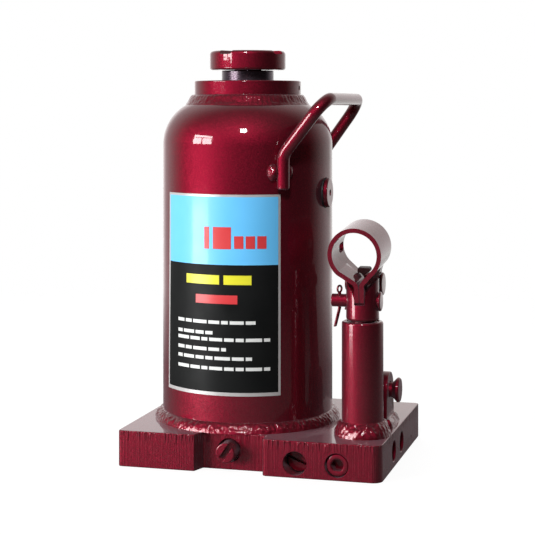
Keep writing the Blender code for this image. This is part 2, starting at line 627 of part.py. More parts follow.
def make_socket():
    """Loft the omega along the socket, then trim it to its side shape and pierce it."""
    stations = ((SOCKET_FRONT - 0.001, LEG_GAP_FRONT), (FLARE_START, LEG_GAP_FRONT),
                (FLARE_END, LEG_GAP_REAR), (SOCKET_REAR + 0.001, LEG_GAP_REAR))
    bm = bmesh.new()
    loops = []
    for along, half_gap in stations:
        middle = omega_middle(half_gap)
        outline = offset_line(middle, SOCKET_SHEET / 2) + offset_line(middle, -SOCKET_SHEET / 2)[::-1]
        loops.append([bm.verts.new((x, along, z)) for x, z in outline])
    count = len(loops[0])
    half = count // 2
    for first, second in zip(loops, loops[1:]):
        for k in range(count):
            n = (k + 1) % count
            bm.faces.new((first[k], first[n], second[n], second[k]))
    for loop in (loops[0], loops[-1]):
        for k in range(half - 1):
            bm.faces.new((loop[k], loop[k + 1], loop[count - 2 - k], loop[count - 1 - k]))
    socket = add_object("handle_socket", bm, PAINT)

    pivot = Vector((PUMP_X, PUMP_Y, PIN_HEIGHT))
    tilt = Euler((SOCKET_TILT, 0.0, 0.0))
    place(socket, pivot, tilt)
    to_socket = tilt.to_matrix().inverted()
    fulcrum = to_socket @ (Vector((PUMP_X, FULCRUM_Y, FULCRUM_Z)) - pivot)

    rear_lobe = 0.0066
    waist_z = 0.0009                     # lifts the wide part of the legs over the plunger's head at full stroke
    side = [(SOCKET_FRONT, 0.045), (SOCKET_FRONT, 0.0009)]
    side += arc(0.0, 0.0, LEG_LOBE, 185, 350, 10)
    side += [(FLARE_START, waist_z)]
    side += arc(fulcrum.y, fulcrum.z, rear_lobe, 236, 420, 11)
    side += [(SOCKET_TUBE_END + 0.001, 0.0125), (SOCKET_TUBE_END, 0.0140), (SOCKET_TUBE_END, 0.045)]
    blank = prism("socket_side", side, -0.020, 0.020, PAINT)
    turn = Matrix(((0, 0, 1), (1, 0, 0), (0, 1, 0)))
    place(blank, pivot, (tilt.to_matrix() @ turn).to_euler())
    boolean(socket, blank, "INTERSECT")

    def pierce(outline, low, high, origin):
        tool = prism("pierce", outline, low, high, PAINT)
        place(tool, origin, (tilt.to_matrix() @ turn).to_euler())
        boolean(socket, tool)

    pierce(arc(0.0, 0.0, PLUNGER_PIN + PIN_CLEARANCE, 0, 345, 23), -0.012, 0.012, pivot)
    reach = fulcrum.yz.normalized()
    slope = math.degrees(math.atan2(reach.y, reach.x))
    half_width = FULCRUM_PIN + PIN_CLEARANCE
    inward_end = (fulcrum.y - FULCRUM_SLOT_INWARD * reach.x, fulcrum.z - FULCRUM_SLOT_INWARD * reach.y)
    slot = arc(fulcrum.y, fulcrum.z, half_width, slope - 90, slope + 90, 10)
    slot += arc(*inward_end, half_width, slope + 90, slope + 270, 10)
    pierce(slot, -0.012, 0.012, pivot)
    window_y, window_z, window_half, window_run = 0.0140, 0.0262, 0.0026, 0.0030
    window = arc(window_y + window_run, window_z, window_half, -90, 90, 8)
    window += arc(window_y - window_run, window_z, window_half, 90, 270, 8)
    pierce(window, -0.020, -0.008, pivot)

    # block in the bottom of the ring, which stops the handle bar
    block = [(-0.0040, 0.0141), (-0.0002, 0.0126), (0.0030, 0.0147), (0.0030, STOP_TOP - 0.0010),
             (0.0020, STOP_TOP), (-0.0030, STOP_TOP), (-0.0040, STOP_TOP - 0.0010)]
    stop = prism("handle_stop", block, -STOP_BACK, -STOP_FRONT, PAINT)
    place(stop, pivot, (tilt.to_matrix() @ Matrix(((1, 0, 0), (0, 0, -1), (0, 1, 0)))).to_euler())
    hang(joint_axis("socket_axis", pivot), socket, stop)


# ---------------------------------------------------------------- link and bracket
def make_link():
    """Link arm between the bracket on the base and the back of the socket, with the pin at its top."""
    lower = Vector((LOWER_PIN_Y, LOWER_PIN_Z))
    upper = Vector((FULCRUM_Y, FULCRUM_Z))
    slope = math.degrees(math.atan2(upper.y - lower.y, upper.x - lower.x))
    outline = arc(lower.x, lower.y, LINK_END, slope + 90, slope + 270, 12)
    outline += arc(upper.x, upper.y, LINK_TOP_END, slope - 90, slope + 90, 12)
    link = prism("link_arm", outline, -LINK_HALF, LINK_HALF, PAINT)
    place(link, (PUMP_X, 0.0, 0.0), Euler((math.pi / 2, 0.0, math.pi / 2)))
    for centre, radius in ((lower, LOWER_PIN), (upper, FULCRUM_PIN)):
        drill(link, radius + PIN_CLEARANCE, (PUMP_X - 0.005, centre.x, centre.y), (1, 0, 0), 0.010)
    half_legs = LEG_GAP_REAR + SOCKET_SHEET
    pin, cotter = make_pin("fulcrum_pin", FULCRUM_PIN, FULCRUM_Y, FULCRUM_Z, -half_legs - 0.0076,
                           half_legs + GAP, 0.0013, 0.0063, -half_legs - 0.0052)
    hang(joint_axis("link_axis", (PUMP_X, LOWER_PIN_Y, LOWER_PIN_Z)), link, pin, cotter)


def make_bracket():
    """U-shaped bracket with two round-topped ears, welded to the base, and the lower link pin."""
    foot = BASE_HEIGHT + GAP
    outline = arc(LOWER_PIN_Y, LOWER_PIN_Z, BRACKET_EAR, 0, 180, 14)
    outline += [(LOWER_PIN_Y - BRACKET_EAR - 0.0008, foot), (LOWER_PIN_Y + BRACKET_EAR + 0.0008, foot)]
    bracket = prism("link_bracket", outline, -BRACKET_OUTER, BRACKET_OUTER, PAINT)
    place(bracket, (PUMP_X, 0.0, 0.0), Euler((math.pi / 2, 0.0, math.pi / 2)))
    channel = [(-0.03, foot + 0.0090), (0.02, foot + 0.0090), (0.02, 0.06), (-0.03, 0.06)]
    tool = prism("channel", channel, -BRACKET_INNER, BRACKET_INNER, PAINT)
    place(tool, (PUMP_X, 0.0, 0.0), Euler((math.pi / 2, 0.0, math.pi / 2)))
    boolean(bracket, tool)
    drill(bracket, LOWER_PIN + PIN_CLEARANCE, (PUMP_X - 0.012, LOWER_PIN_Y, LOWER_PIN_Z), (1, 0, 0), 0.024)

    reach, height = 0.0026, 0.0042
    half_x, half_y = BRACKET_OUTER + GAP, BRACKET_EAR + 0.0008 + GAP
    outline = []
    for sx, sy, start in ((1, 1, 0), (-1, 1, 90), (-1, -1, 180), (1, -1, 270)):
        outline += arc(sx * half_x, sy * half_y, reach, start, start + 90, 4)
    weld = prism("bracket_weld", outline, 0.0, height, PAINT)
    place(weld, (PUMP_X, LOWER_PIN_Y, foot))
    edge = weld.modifiers.new("Bead", "BEVEL")
    edge.width = 0.0018
    edge.segments = 2
    edge.limit_method = "ANGLE"
    edge.angle_limit = math.radians(60)
    inside = [(-half_x, -half_y), (half_x, -half_y), (half_x, half_y), (-half_x, half_y)]
    hole = prism("weld_inside", inside, -0.01, 0.02, PAINT)
    place(hole, (PUMP_X, LOWER_PIN_Y, foot))
    boolean(weld, hole)
    make_pin("lower_link_pin", LOWER_PIN, LOWER_PIN_Y, LOWER_PIN_Z, -0.0148,
             0.0112, 0.0040, 0.0068, -0.0122, cone=0.0024)


# ---------------------------------------------------------------- valves in the base
def along_front(piece, x, z, depth):
    """Put a turned piece into a front hole: its local Z points inward, its origin is depth behind the front."""
    return place(piece, (x, -BASE_HALF_DEPTH + depth, z), ALONG_Y)


def make_release_valve():
    """Spindle flush with the front face, with a slotted end, a seal ring, and a ball on its seat."""
    wall = RELEASE_BORE - GAP
    thread = FRONT_HOLE - GAP
    neck_start, tip = RELEASE_THREAD - 0.0002, RELEASE_SEAT - 0.0031
    stem = RELEASE_STEM
    groove_low, groove_high = neck_start + 0.0020, neck_start + 0.0042
    profile = [(0.0, 0.0002), (stem - 0.0005, 0.0002), (stem, 0.0007), (stem, POCKET_DEPTH + 0.0022)]
    profile += [(thread, POCKET_DEPTH + 0.0022), (thread, neck_start - GAP), (wall, neck_start - GAP)]
    profile += [(wall, groove_low), (0.0030, groove_low), (0.0030, groove_high), (wall, groove_high)]
    profile += [(wall, tip - 0.0015), (0.0026, tip), (0.0, tip)]
    spindle = turned("release_spindle", profile, PAINT, FINE_STEPS)
    along_front(spindle, RELEASE_X, RELEASE_Z, 0.0)
    slot = [(-0.0015, -0.02), (0.0015, -0.02), (0.0015, 0.02), (-0.0015, 0.02)]
    tool = prism("slot", slot, -0.001, 0.0042, PAINT)
    place(tool, (RELEASE_X, -BASE_HALF_DEPTH, RELEASE_Z), Euler((-math.pi / 2, math.radians(35), 0.0)))
    boolean(spindle, tool)
    seal = turned("release_seal", [(0.0033, groove_low + GAP), (wall + 0.0001, groove_low + GAP),
                                   (wall + 0.0001, groove_high - GAP), (0.0033, groove_high - GAP)],
                  RUBBER, FINE_STEPS)
    along_front(seal, RELEASE_X, RELEASE_Z, 0.0)
    check = ball("release_ball", 0.0013, STEEL)
    along_front(check, RELEASE_X, RELEASE_Z, tip + 0.0016)
    hang(joint_axis("release_axis", (RELEASE_X, -BASE_HALF_DEPTH, RELEASE_Z)), spindle, seal)
    hang(joint_axis("release_ball_axis", (RELEASE_X, -BASE_HALF_DEPTH, RELEASE_Z)), check)


def make_safety_valve():
    """Slotted adjusting screw deep in its hole, a spring, and a ball over the pressure passage."""
    start, screw_length = 0.0085, 0.0050
    radius = FRONT_HOLE - GAP
    screw = turned("safety_screw", [(0.0, 0.0), (radius - 0.0005, 0.0), (radius, 0.0005), (radius, screw_length),
                                    (0.0, screw_length)], PAINT, FINE_STEPS)
    along_front(screw, SAFETY_X, SAFETY_Z, start)
    slot = [(-0.0007, -0.02), (0.0007, -0.02), (0.0007, 0.02), (-0.0007, 0.02)]
    tool = prism("slot", slot, -0.001, 0.0018, PAINT)
    place(tool, (SAFETY_X, -BASE_HALF_DEPTH + start, SAFETY_Z), Euler((-math.pi / 2, math.radians(-68), 0.0)))
    boolean(screw, tool)
    ball_radius = 0.0029
    spring_start = start + screw_length + GAP + 0.0005
    spring_end = SAFETY_SEAT - GAP - 2 * ball_radius + 0.0008
    coil = spring("safety_spring", 0.0032, 0.0005, spring_end - spring_start - 0.0005, 3.5, STEEL)
    along_front(coil, SAFETY_X, SAFETY_Z, spring_start)
    along_front(ball("safety_ball", ball_radius, STEEL), SAFETY_X, SAFETY_Z, SAFETY_SEAT - GAP - ball_radius)


def hex_outline(across_flats):
    corner = across_flats / math.sqrt(3)
    return [(corner * math.cos(math.radians(60 * k)), corner * math.sin(math.radians(60 * k))) for k in range(6)]


def make_plug(name, radius, length, across_flats, place_piece):
    """Threaded plug with a hexagon socket and a countersunk mouth."""
    plug = turned(name, [(0.0, 0.0), (radius - 0.0008, 0.0), (radius, 0.0008), (radius, length), (0.0, length)],
                  PAINT, FINE_STEPS)
    place_piece(plug)
    tool = place_piece(prism("hexagon", hex_outline(across_flats), -0.001, length * 0.6, PAINT))
    boolean(plug, tool)
    sink = across_flats * 0.62
    mouth = turned("countersink", [(0.0, -0.001), (sink + 0.001, -0.001), (sink - 0.001, 0.001), (0.0, 0.001)],
                   PAINT, FINE_STEPS)
    boolean(plug, place_piece(mouth))
    return plug


def make_base_plugs():
    """Suction plug and ball behind the front face, and two gallery plugs in the right face."""
    depth = 0.0012

    def suction(piece, extra=0.0):
        return along_front(piece, SUCTION_X, SUCTION_Z, depth + extra)

    make_plug("suction_plug", FRONT_HOLE - GAP, 0.0100, 0.0052, suction)
    suction(turned("suction_washer", [(0.0036, 0.0), (0.0060, 0.0), (0.0060, 0.0012), (0.0036, 0.0012)],
                   COPPER, FINE_STEPS), 0.0100 + GAP)
    along_front(ball("suction_ball", 0.0030, STEEL), SUCTION_X, SUCTION_Z, SUCTION_SEAT - GAP - 0.0030)

    for name, (y, z) in zip(("pressure_plug", "delivery_plug"), SIDE_HOLES):
        def side(piece, y=y, z=z):
            return place(piece, (BASE_RIGHT - 0.0040, y, z), Euler((0.0, -math.pi / 2, 0.0)))
        make_plug(name, SIDE_HOLE - GAP, 0.0075, 0.0048, side)

    y, z = SIDE_HOLES[1]
    seat = BASE_RIGHT - DELIVERY_SEAT
    delivery = ball("delivery_ball", 0.0031, STEEL)
    place(delivery, (seat + GAP + 0.0031, y, z))
    coil_start = seat + GAP + 0.0062 + 0.0007
    coil_length = BASE_RIGHT - 0.0040 - 0.0075 - 0.0008 - coil_start
    coil = spring("delivery_spring", 0.0024, 0.00045, coil_length, 3.5, STEEL)
    place(coil, (coil_start, y, z), ALONG_X)


# ---------------------------------------------------------------- handle, filler plug, label
def make_carry_handle():
    """Round bar: two upright feet against the shell, slanted legs, and a level grip."""
    foot_radius = SHELL_RADIUS + HANDLE_ROD + GAP
    legs = []
    for y, grip_end in zip(HANDLE_FEET_Y, HANDLE_GRIP_ENDS):
        x = math.sqrt(foot_radius ** 2 - y ** 2)
        legs.append([(x, y, HANDLE_FOOT_BOTTOM), (x, y, HANDLE_FOOT_TOP), (*grip_end, HANDLE_GRIP_Z)])
    swept("carry_handle", rounded_path(legs[0] + legs[1][::-1], HANDLE_BEND, 5), HANDLE_ROD, PAINT)


def make_filler_plug():
    """Plug in the side of the shell: a head with a blind hole, a stem, and a seal ring between head and seat."""
    seal_thick, head_start = 0.0008, PLUG_SEAT + 0.0014
    head = PLUG_FACE - head_start
    profile = [(0.0, -0.0070), (PLUG_STEM - 0.0008, -0.0070), (PLUG_STEM, -0.0060), (PLUG_STEM, 0.0)]
    profile += [(PLUG_RADIUS - 0.0004, 0.0), (PLUG_RADIUS, 0.0004), (PLUG_RADIUS, head - 0.0006)]
    profile += [(PLUG_RADIUS - 0.0006, head), (PLUG_HOLE, head), (PLUG_HOLE, head - 0.0045), (0.0, head - 0.0045)]
    plug = turned("filler_plug", profile, PAINT, PUMP_STEPS)
    seal = turned("filler_seal", [(PLUG_STEM + GAP, -GAP - seal_thick), (PLUG_RADIUS, -GAP - seal_thick),
                                  (PLUG_RADIUS, -GAP), (PLUG_STEM + GAP, -GAP)], RUBBER, PUMP_STEPS)
    for piece in (plug, seal):
        place(piece, (head_start, PLUG_Y, PLUG_HEIGHT), ALONG_X)
    hang(joint_axis("filler_axis", (SHELL_RADIUS, PLUG_Y, PLUG_HEIGHT)), plug, seal)


def make_label():
    """Thin sheet wrapped round the front of the shell."""
    inner = SHELL_RADIUS + GAP / 2
    count = 16
    start, end = math.degrees(LABEL_MIDDLE - LABEL_HALF), math.degrees(LABEL_MIDDLE + LABEL_HALF)
    outline = arc(0.0, 0.0, inner + LABEL_THICKNESS, start, end, count)
    outline += arc(0.0, 0.0, inner, end, start, count)
    prism("rating_label", outline, LABEL_BOTTOM, LABEL_TOP, LABEL)


# ---------------------------------------------------------------- assembly
for leftover in list(bpy.data.objects):
    bpy.data.objects.remove(leftover)

PAINT = material("candy_red_paint", (0.30, 0.010, 0.030), 0.28, 0.55)
STEEL = material("bright_steel", (0.55, 0.55, 0.56), 0.30, 1.0)
DARK_STEEL = material("dark_steel", (0.05, 0.045, 0.06), 0.40, 0.9)
CHROME = material("ground_steel", (0.60, 0.60, 0.62), 0.18, 1.0)
COPPER = material("copper", (0.72, 0.36, 0.20), 0.35, 1.0)
BRONZE = material("bronze", (0.55, 0.38, 0.16), 0.35, 1.0)
RUBBER = material("rubber", (0.02, 0.02, 0.02), 0.60, 0.0)
LABEL = material("label", (0.25, 0.50, 0.85), 0.35, 0.0)

make_base()
make_shell()
weld_ring("shell_weld", SHELL_RADIUS, 0.0042, 0.0064, BASE_HEIGHT + GAP, PAINT)
make_top_weld()
make_cylinder_group()
make_ram()
make_screw_and_saddle()
make_pump_cylinder()
make_plunger()
make_socket()
make_link()
make_bracket()
make_release_valve()
make_safety_valve()
make_base_plugs()
make_carry_handle()
make_filler_plug()
make_label()
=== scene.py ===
"""The looks of a welded bottle jack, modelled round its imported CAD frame.

Metres, +Z up. The front, with the release valve and the label, faces -Y, and the pump stands at the +X side.
Each piece is modelled in place, in the frame's own coordinates, and rides on one CAD body.
"""

import json
import math

import bmesh
import bpy
from mathutils import Euler, Matrix, Vector, noise


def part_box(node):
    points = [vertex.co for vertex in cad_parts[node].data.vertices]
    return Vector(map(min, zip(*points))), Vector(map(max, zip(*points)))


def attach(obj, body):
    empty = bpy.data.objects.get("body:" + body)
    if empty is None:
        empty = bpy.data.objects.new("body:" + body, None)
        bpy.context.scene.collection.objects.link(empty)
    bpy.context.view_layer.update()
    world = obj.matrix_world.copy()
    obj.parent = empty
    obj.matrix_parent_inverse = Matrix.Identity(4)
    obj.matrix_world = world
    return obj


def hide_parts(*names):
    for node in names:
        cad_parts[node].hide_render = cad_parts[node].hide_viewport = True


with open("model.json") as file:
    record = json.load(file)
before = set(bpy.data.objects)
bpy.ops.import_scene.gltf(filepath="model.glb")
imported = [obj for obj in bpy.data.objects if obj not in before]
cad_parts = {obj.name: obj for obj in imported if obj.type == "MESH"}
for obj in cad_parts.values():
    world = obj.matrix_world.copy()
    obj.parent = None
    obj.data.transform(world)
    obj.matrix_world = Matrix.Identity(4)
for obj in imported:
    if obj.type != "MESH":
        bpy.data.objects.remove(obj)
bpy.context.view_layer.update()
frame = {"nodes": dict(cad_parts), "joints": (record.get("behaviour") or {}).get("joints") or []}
JOINTS = {joint["name"]: joint for joint in frame["joints"]}


def centre(node):
    low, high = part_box(node)
    return (low + high) / 2


# ---------------------------------------------------------------- places, read from the frame
BASE_LOW, BASE_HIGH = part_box("base_plate")
BASE_TOP = BASE_HIGH.z
FRONT, RIGHT = BASE_LOW.y, BASE_HIGH.x
SHELL_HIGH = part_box("reservoir_shell")[1]
SHELL_RADIUS = SHELL_HIGH.x
NUT_LOW, NUT_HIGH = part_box("top_nut")
SCREW_LOW, SCREW_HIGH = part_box("extension_screw")
RAM_LOW, RAM_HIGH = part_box("ram")
SADDLE_LOW, SADDLE_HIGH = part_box("saddle")
PUMP_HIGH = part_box("pump_cylinder")[1]
PUMP = Vector((centre("pump_cylinder").x, centre("pump_cylinder").y, 0.0))
PIVOT = Vector(JOINTS["socket_swing"]["pos_m"])
FULCRUM = Vector((PIVOT.x, centre("fulcrum_pin").y, centre("fulcrum_pin").z))
LINK_PIVOT = Vector(JOINTS["link_rock"]["pos_m"])
LABEL_LOW, LABEL_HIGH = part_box("rating_label")

RING_STEPS = 160
PIN_STEPS = 64
SHARP_ANGLE = math.radians(42)

# matrices that lay a piece's own axes along the frame's
UPRIGHT = Matrix.Identity(4)
TO_RIGHT = Matrix(((0, 0, 1, 0), (1, 0, 0, 0), (0, 1, 0, 0), (0, 0, 0, 1)))     # own Z along +X, X along +Y
TO_LEFT = Matrix(((0, 0, -1, 0), (-1, 0, 0, 0), (0, 1, 0, 0), (0, 0, 0, 1)))    # own Z along -X
TO_BACK = Matrix(((1, 0, 0, 0), (0, 0, 1, 0), (0, -1, 0, 0), (0, 0, 0, 1)))     # own Z along +Y, Y along -Z
TO_FRONT = Matrix(((1, 0, 0, 0), (0, 0, -1, 0), (0, 1, 0, 0), (0, 0, 0, 1)))    # own Z along -Y, Y along +Z

# sizes that more than one piece shares
PIVOT_HOLE, LINK_FOOT_HOLE, FULCRUM_HOLE = 0.00385, 0.00445, 0.00435
SPIGOT_GROOVE_LOW, SPIGOT_GROOVE_HIGH, SPIGOT_GROOVE_DEPTH = 0.2183, 0.2200, 0.0009


def at(place, turn=UPRIGHT):
    return Matrix.Translation(Vector(place)) @ turn


# ---------------------------------------------------------------- materials
def feed(tree, socket, value):
    """Link a socket to another one, or set it to a value."""
    if isinstance(value, bpy.types.NodeSocket):
        tree.links.new(value, socket)
    else:
        socket.default_value = value


def add_node(tree, kind, feeds=None, **settings):
    node = tree.nodes.new(kind)
    for key, value in settings.items():
        setattr(node, key, value)
    for socket, value in (feeds or {}).items():
        feed(tree, node.inputs[socket], value)
    return node


class Finish:
    """A material in the making: its shader, and short calls that add the nodes feeding it."""

    def __init__(self, name, **constants):
        self.material = bpy.data.materials.new(name)
        self.material.use_nodes = True
        self.tree = self.material.node_tree
        self.shader = self.tree.nodes["Principled BSDF"]
        for socket, value in constants.items():
            self.shader.inputs[socket.replace("_", " ")].default_value = value
        self.place = self.add("ShaderNodeTexCoord").outputs["Object"]

    def add(self, kind, feeds=None, **settings):
        return add_node(self.tree, kind, feeds, **settings)

    def feed(self, socket, value):
        feed(self.tree, socket, value)

    def stretched(self, scale):
        """The object's coordinates, stretched along its axes."""
        return self.add("ShaderNodeMapping", {"Vector": self.place, "Scale": scale}).outputs["Vector"]

    def noise(self, scale, detail=2.0, stretch=None):
        place = self.stretched(stretch) if stretch else self.place
        feeds = {"Vector": place, "Scale": scale, "Detail": detail}
        return self.add("ShaderNodeTexNoise", feeds).outputs["Fac"]

    def vector_math(self, operation, feeds):
        return self.add("ShaderNodeVectorMath", feeds, operation=operation).outputs

    def math(self, operation, first, second=0.0):
        return self.add("ShaderNodeMath", {0: first, 1: second}, operation=operation).outputs["Value"]

    def ranged(self, value, low, high, to_low=0.0, to_high=1.0):
        feeds = {"Value": value, "From Min": low, "From Max": high, "To Min": to_low, "To Max": to_high}
        return self.add("ShaderNodeMapRange", feeds).outputs["Result"]

    def mixed(self, factor, first, second):
        """A colour between two colours."""
        mix = self.add("ShaderNodeMix", data_type="RGBA")
        self.feed(mix.inputs["Factor"], factor)
        for name, value in (("A", first), ("B", second)):
            socket = next(s for s in mix.inputs if s.name == name and s.type == "RGBA")
            self.feed(socket, (*value, 1.0) if isinstance(value, tuple) else value)
        return next(s for s in mix.outputs if s.type == "RGBA")

    def bump(self, height, distance, normal=None):
        feeds = {"Height": height, "Distance": distance}
        if normal is not None:
            feeds["Normal"] = normal
        return self.add("ShaderNodeBump", feeds).outputs["Normal"]


def candy_paint(name, bumps=None):
    """Metallic red paint with flakes under a clear coat. bumps(finish) may give a normal for the coat."""
    finish = Finish(name, Metallic=1.0, Specular_Tint=(0.30, 0.05, 0.09, 1.0), Coat_Weight=1.0,
                    Coat_Roughness=0.055, Coat_IOR=1.5, Sheen_Weight=0.14, Sheen_Roughness=0.45,
                    Sheen_Tint=(1.0, 0.72, 0.85, 1.0))
    shader = finish.shader.inputs
    flakes = finish.add("ShaderNodeTexVoronoi", {"Vector": finish.place, "Scale": 2600.0}).outputs["Color"]
    spread = finish.vector_math("SUBTRACT", {0: flakes, 1: (0.5, 0.5, 0.5)})[0]
    tilt = finish.vector_math("SCALE", {0: spread, "Scale": 0.20})[0]
    peel = finish.bump(finish.noise(260.0, 1.0), 0.00003)
    smooth = bumps(finish, peel) if bumps else peel
    leaned = finish.vector_math("ADD", {0: smooth, 1: tilt})[0]
    finish.feed(shader["Normal"], finish.vector_math("NORMALIZE", {0: leaned})[0])
    finish.feed(shader["Coat Normal"], smooth)
    clouds = finish.noise(18.0, 3.0)
    deep = finish.mixed(clouds, (0.155, 0.0036, 0.0155), (0.190, 0.0050, 0.0200))
    sparkle = finish.ranged(finish.add("ShaderNodeSeparateColor", {"Color": flakes}).outputs[0], 0.55, 1.0)
    finish.feed(shader["Base Color"], finish.mixed(sparkle, deep, (0.23, 0.009, 0.024)))
    finish.feed(shader["Roughness"], finish.ranged(clouds, 0.3, 0.7, 0.52, 0.60))
    return finish.material


def saw_marks(finish, normal):
    """Fine upright lines on the sawn sides of the base, and a coarser comb along their top edge."""
    facing = finish.add("ShaderNodeSeparateXYZ",
                        {"Vector": finish.add("ShaderNodeNewGeometry").outputs["Normal"]}).outputs["Z"]
    side = finish.ranged(finish.math("ABSOLUTE", facing), 0.6, 0.3)
    lines = finish.noise(1500.0, 3.0, stretch=(1.0, 1.0, 0.02))
    height = finish.add("ShaderNodeSeparateXYZ", {"Vector": finish.place}).outputs["Z"]
    edge = finish.ranged(height, BASE_TOP - 0.0055, BASE_TOP - 0.0005)
    ragged = finish.ranged(finish.noise(620.0, 2.0, stretch=(1.0, 1.0, 0.10)), 0.50, 0.62)
    comb = finish.math("MULTIPLY", edge, ragged)
    normal = finish.bump(finish.math("MULTIPLY", lines, side), 0.00022, normal)
    return finish.bump(finish.math("MULTIPLY", comb, side), 0.00050, normal)


def spatter(finish, normal):
    """Small irregular bumps of a weld's skin."""
    return finish.bump(finish.noise(900.0, 3.0), 0.00022, normal)


def varied(name, colour, roughness, scale, stretch=(1.0, 1.0, 1.0), relief=0.00003, shade=0.75, **constants):
    """A plain finish whose colour, roughness and relief follow a stretched noise."""
    finish = Finish(name, **constants)
    grain = finish.noise(scale, 3.0, stretch)
    shader = finish.shader.inputs
    finish.feed(shader["Base Color"], finish.mixed(grain, tuple(shade * c for c in colour), colour))
    finish.feed(shader["Roughness"], finish.ranged(grain, 0.3, 0.7, roughness * 0.8, roughness * 1.25))
    finish.feed(shader["Normal"], finish.bump(grain, relief))
    return finish.material


PAINT = candy_paint("candy_red_paint")
SAWN_PAINT = candy_paint("candy_red_on_sawn_steel", saw_marks)
WELD_PAINT = candy_paint("candy_red_on_weld", spatter)
TURNED = (1.0, 1.0, 14.0)                # grain of a piece turned about Z: rings
STEEL = varied("bright_steel", (0.56, 0.56, 0.57), 0.28, 900.0, Metallic=1.0)
DARK_STEEL = varied("dark_oiled_steel", (0.11, 0.075, 0.10), 0.30, 300.0, TURNED, Metallic=0.9,
                    Coat_Weight=0.5, Coat_Roughness=0.12)
GROUND_STEEL = varied("ground_steel", (0.63, 0.63, 0.65), 0.14, 500.0, TURNED, 0.000008, 0.9, Metallic=1.0)
COPPER = varied("copper", (0.72, 0.36, 0.20), 0.35, 700.0, Metallic=1.0)
# A very dark bronze colour, on the gland ring and the piston ring.
BRONZE = varied("dark_bronze", (0.12, 0.07, 0.04), 0.40, 700.0, Metallic=1.0)
# Near-black red for the bar stop: painted shade, standing in for the shade in the hollow between the socket's
# flanks.
PAINTED_SHADE_RED = varied("painted_shade_dark_red", (0.035, 0.010, 0.012), 0.45, 500.0, Metallic=0.3)
RUBBER = varied("rubber", (0.022, 0.022, 0.024), 0.55, 800.0)
FILM = {"Coat_Weight": 0.35, "Coat_Roughness": 0.12}
LABEL_BLUE = varied("label_blue", (0.13, 0.53, 0.93), 0.40, 60.0, relief=0.00001, shade=0.96, **FILM)
LABEL_BLACK = varied("label_black", (0.0045, 0.0050, 0.0052), 0.50, 60.0, relief=0.00001, shade=0.85,
                     Specular_IOR_Level=0.15)
LABEL_SILVER = varied("label_silver", (0.55, 0.53, 0.53), 0.38, 400.0, relief=0.00001, shade=0.92,
                      Metallic=0.35)
INK_RED = varied("label_red", (0.62, 0.045, 0.05), 0.36, 60.0, relief=0.00001, shade=0.95)
INK_YELLOW = varied("label_yellow", (0.74, 0.70, 0.03), 0.36, 60.0, relief=0.00001, shade=0.95)
INK_WHITE = varied("label_white", (0.70, 0.71, 0.70), 0.36, 60.0, relief=0.00001, shade=0.95)


# ---------------------------------------------------------------- outlines
def arc(cx, cy, radius, start, end, count):
    """Points on a circle, from one angle to another in degrees, ends included."""
    angles = [math.radians(start + (end - start) * k / count) for k in range(count + 1)]
    return [(cx + radius * math.cos(a), cy + radius * math.sin(a)) for a in angles]


def filleted(corners, steps=4):
    """A closed outline from (x, y) or (x, y, radius) corners; those with a radius are rounded."""
    points = []
    flat = [Vector(c[:2]) for c in corners]
    for k, corner in enumerate(corners):
        here, before, after = flat[k], flat[k - 1], flat[(k + 1) % len(flat)]
        if len(corner) < 3:
            points.append(tuple(here))
            continue
        back, ahead = (before - here).normalized(), (after - here).normalized()
        half = back.angle(ahead) / 2
        reach = corner[2] / math.tan(half)
        middle = here + (back + ahead).normalized() * corner[2] / math.sin(half)
        first, last = here + back * reach - middle, here + ahead * reach - middle
        swing = first.angle_signed(last)
        for j in range(steps + 1):
            spoke = first.copy()
            spoke.rotate(Matrix.Rotation(-swing * j / steps, 2))
            points.append(tuple(middle + spoke))
    return points


def rounded_path(corners, radius, steps=10):
    """A path through 3D corners, each inner corner replaced by an arc."""
    corners = [Vector(c) for c in corners]
    path = [corners[0]]
    for before, corner, after in zip(corners, corners[1:], corners[2:]):
        incoming, outgoing = (corner - before).normalized(), (after - corner).normalized()
        turn = incoming.angle(outgoing)
        start = corner - incoming * radius * math.tan(turn / 2)
        axis = incoming.cross(outgoing).normalized()
        middle = start + axis.cross(incoming) * radius
        for k in range(steps + 1):
            path.append(middle + Matrix.Rotation(turn * k / steps, 3, axis) @ (start - middle))
    path.append(corners[-1])
    return path


# ---------------------------------------------------------------- solids
def add_mesh(name, bm, material, place=UPRIGHT):
    """Put a bmesh into the scene, in place, with smooth shading between its sharp edges."""
    bmesh.ops.recalc_face_normals(bm, faces=bm.faces)
    mesh = bpy.data.meshes.new(name)
    bm.to_mesh(mesh)
    bm.free()
    mesh.transform(place)
    mesh.materials.append(material)
    mesh.shade_smooth()
    mesh.set_sharp_from_angle(angle=SHARP_ANGLE)
    piece = bpy.data.objects.new(name, mesh)
    bpy.context.scene.collection.objects.link(piece)
    return piece


def skin(bm, rings, close=False):
    """Faces between neighbouring rings of vertices; a ring of one vertex is a tip."""
    for lower, upper in zip(rings, rings[1:] + (rings[:1] if close else [])):
        count = max(len(lower), len(upper))
        for k in range(count if count > 1 else 0):
            n = (k + 1) % count
            corners = (lower[k % len(lower)], lower[n % len(lower)], upper[n % len(upper)],
                       upper[k % len(upper)])
            bm.faces.new(list(dict.fromkeys(corners)))


def circle(bm, radius, height, steps):
    """A ring of vertices round Z, or a single one on the axis."""
    if radius < 1e-7:
        return [bm.verts.new((0.0, 0.0, height))]
    return [bm.verts.new((x, y, height)) for x, y in arc(0, 0, radius, 0, 360, steps)[:-1]]


def turned(name, profile, material, place=UPRIGHT, steps=RING_STEPS):
    """A solid of revolution about its own Z, from a closed outline of (radius, height) corners."""
    bm = bmesh.new()
    skin(bm, [circle(bm, radius, height, steps) for radius, height in filleted(profile)], close=True)
    return add_mesh(name, bm, material, place)


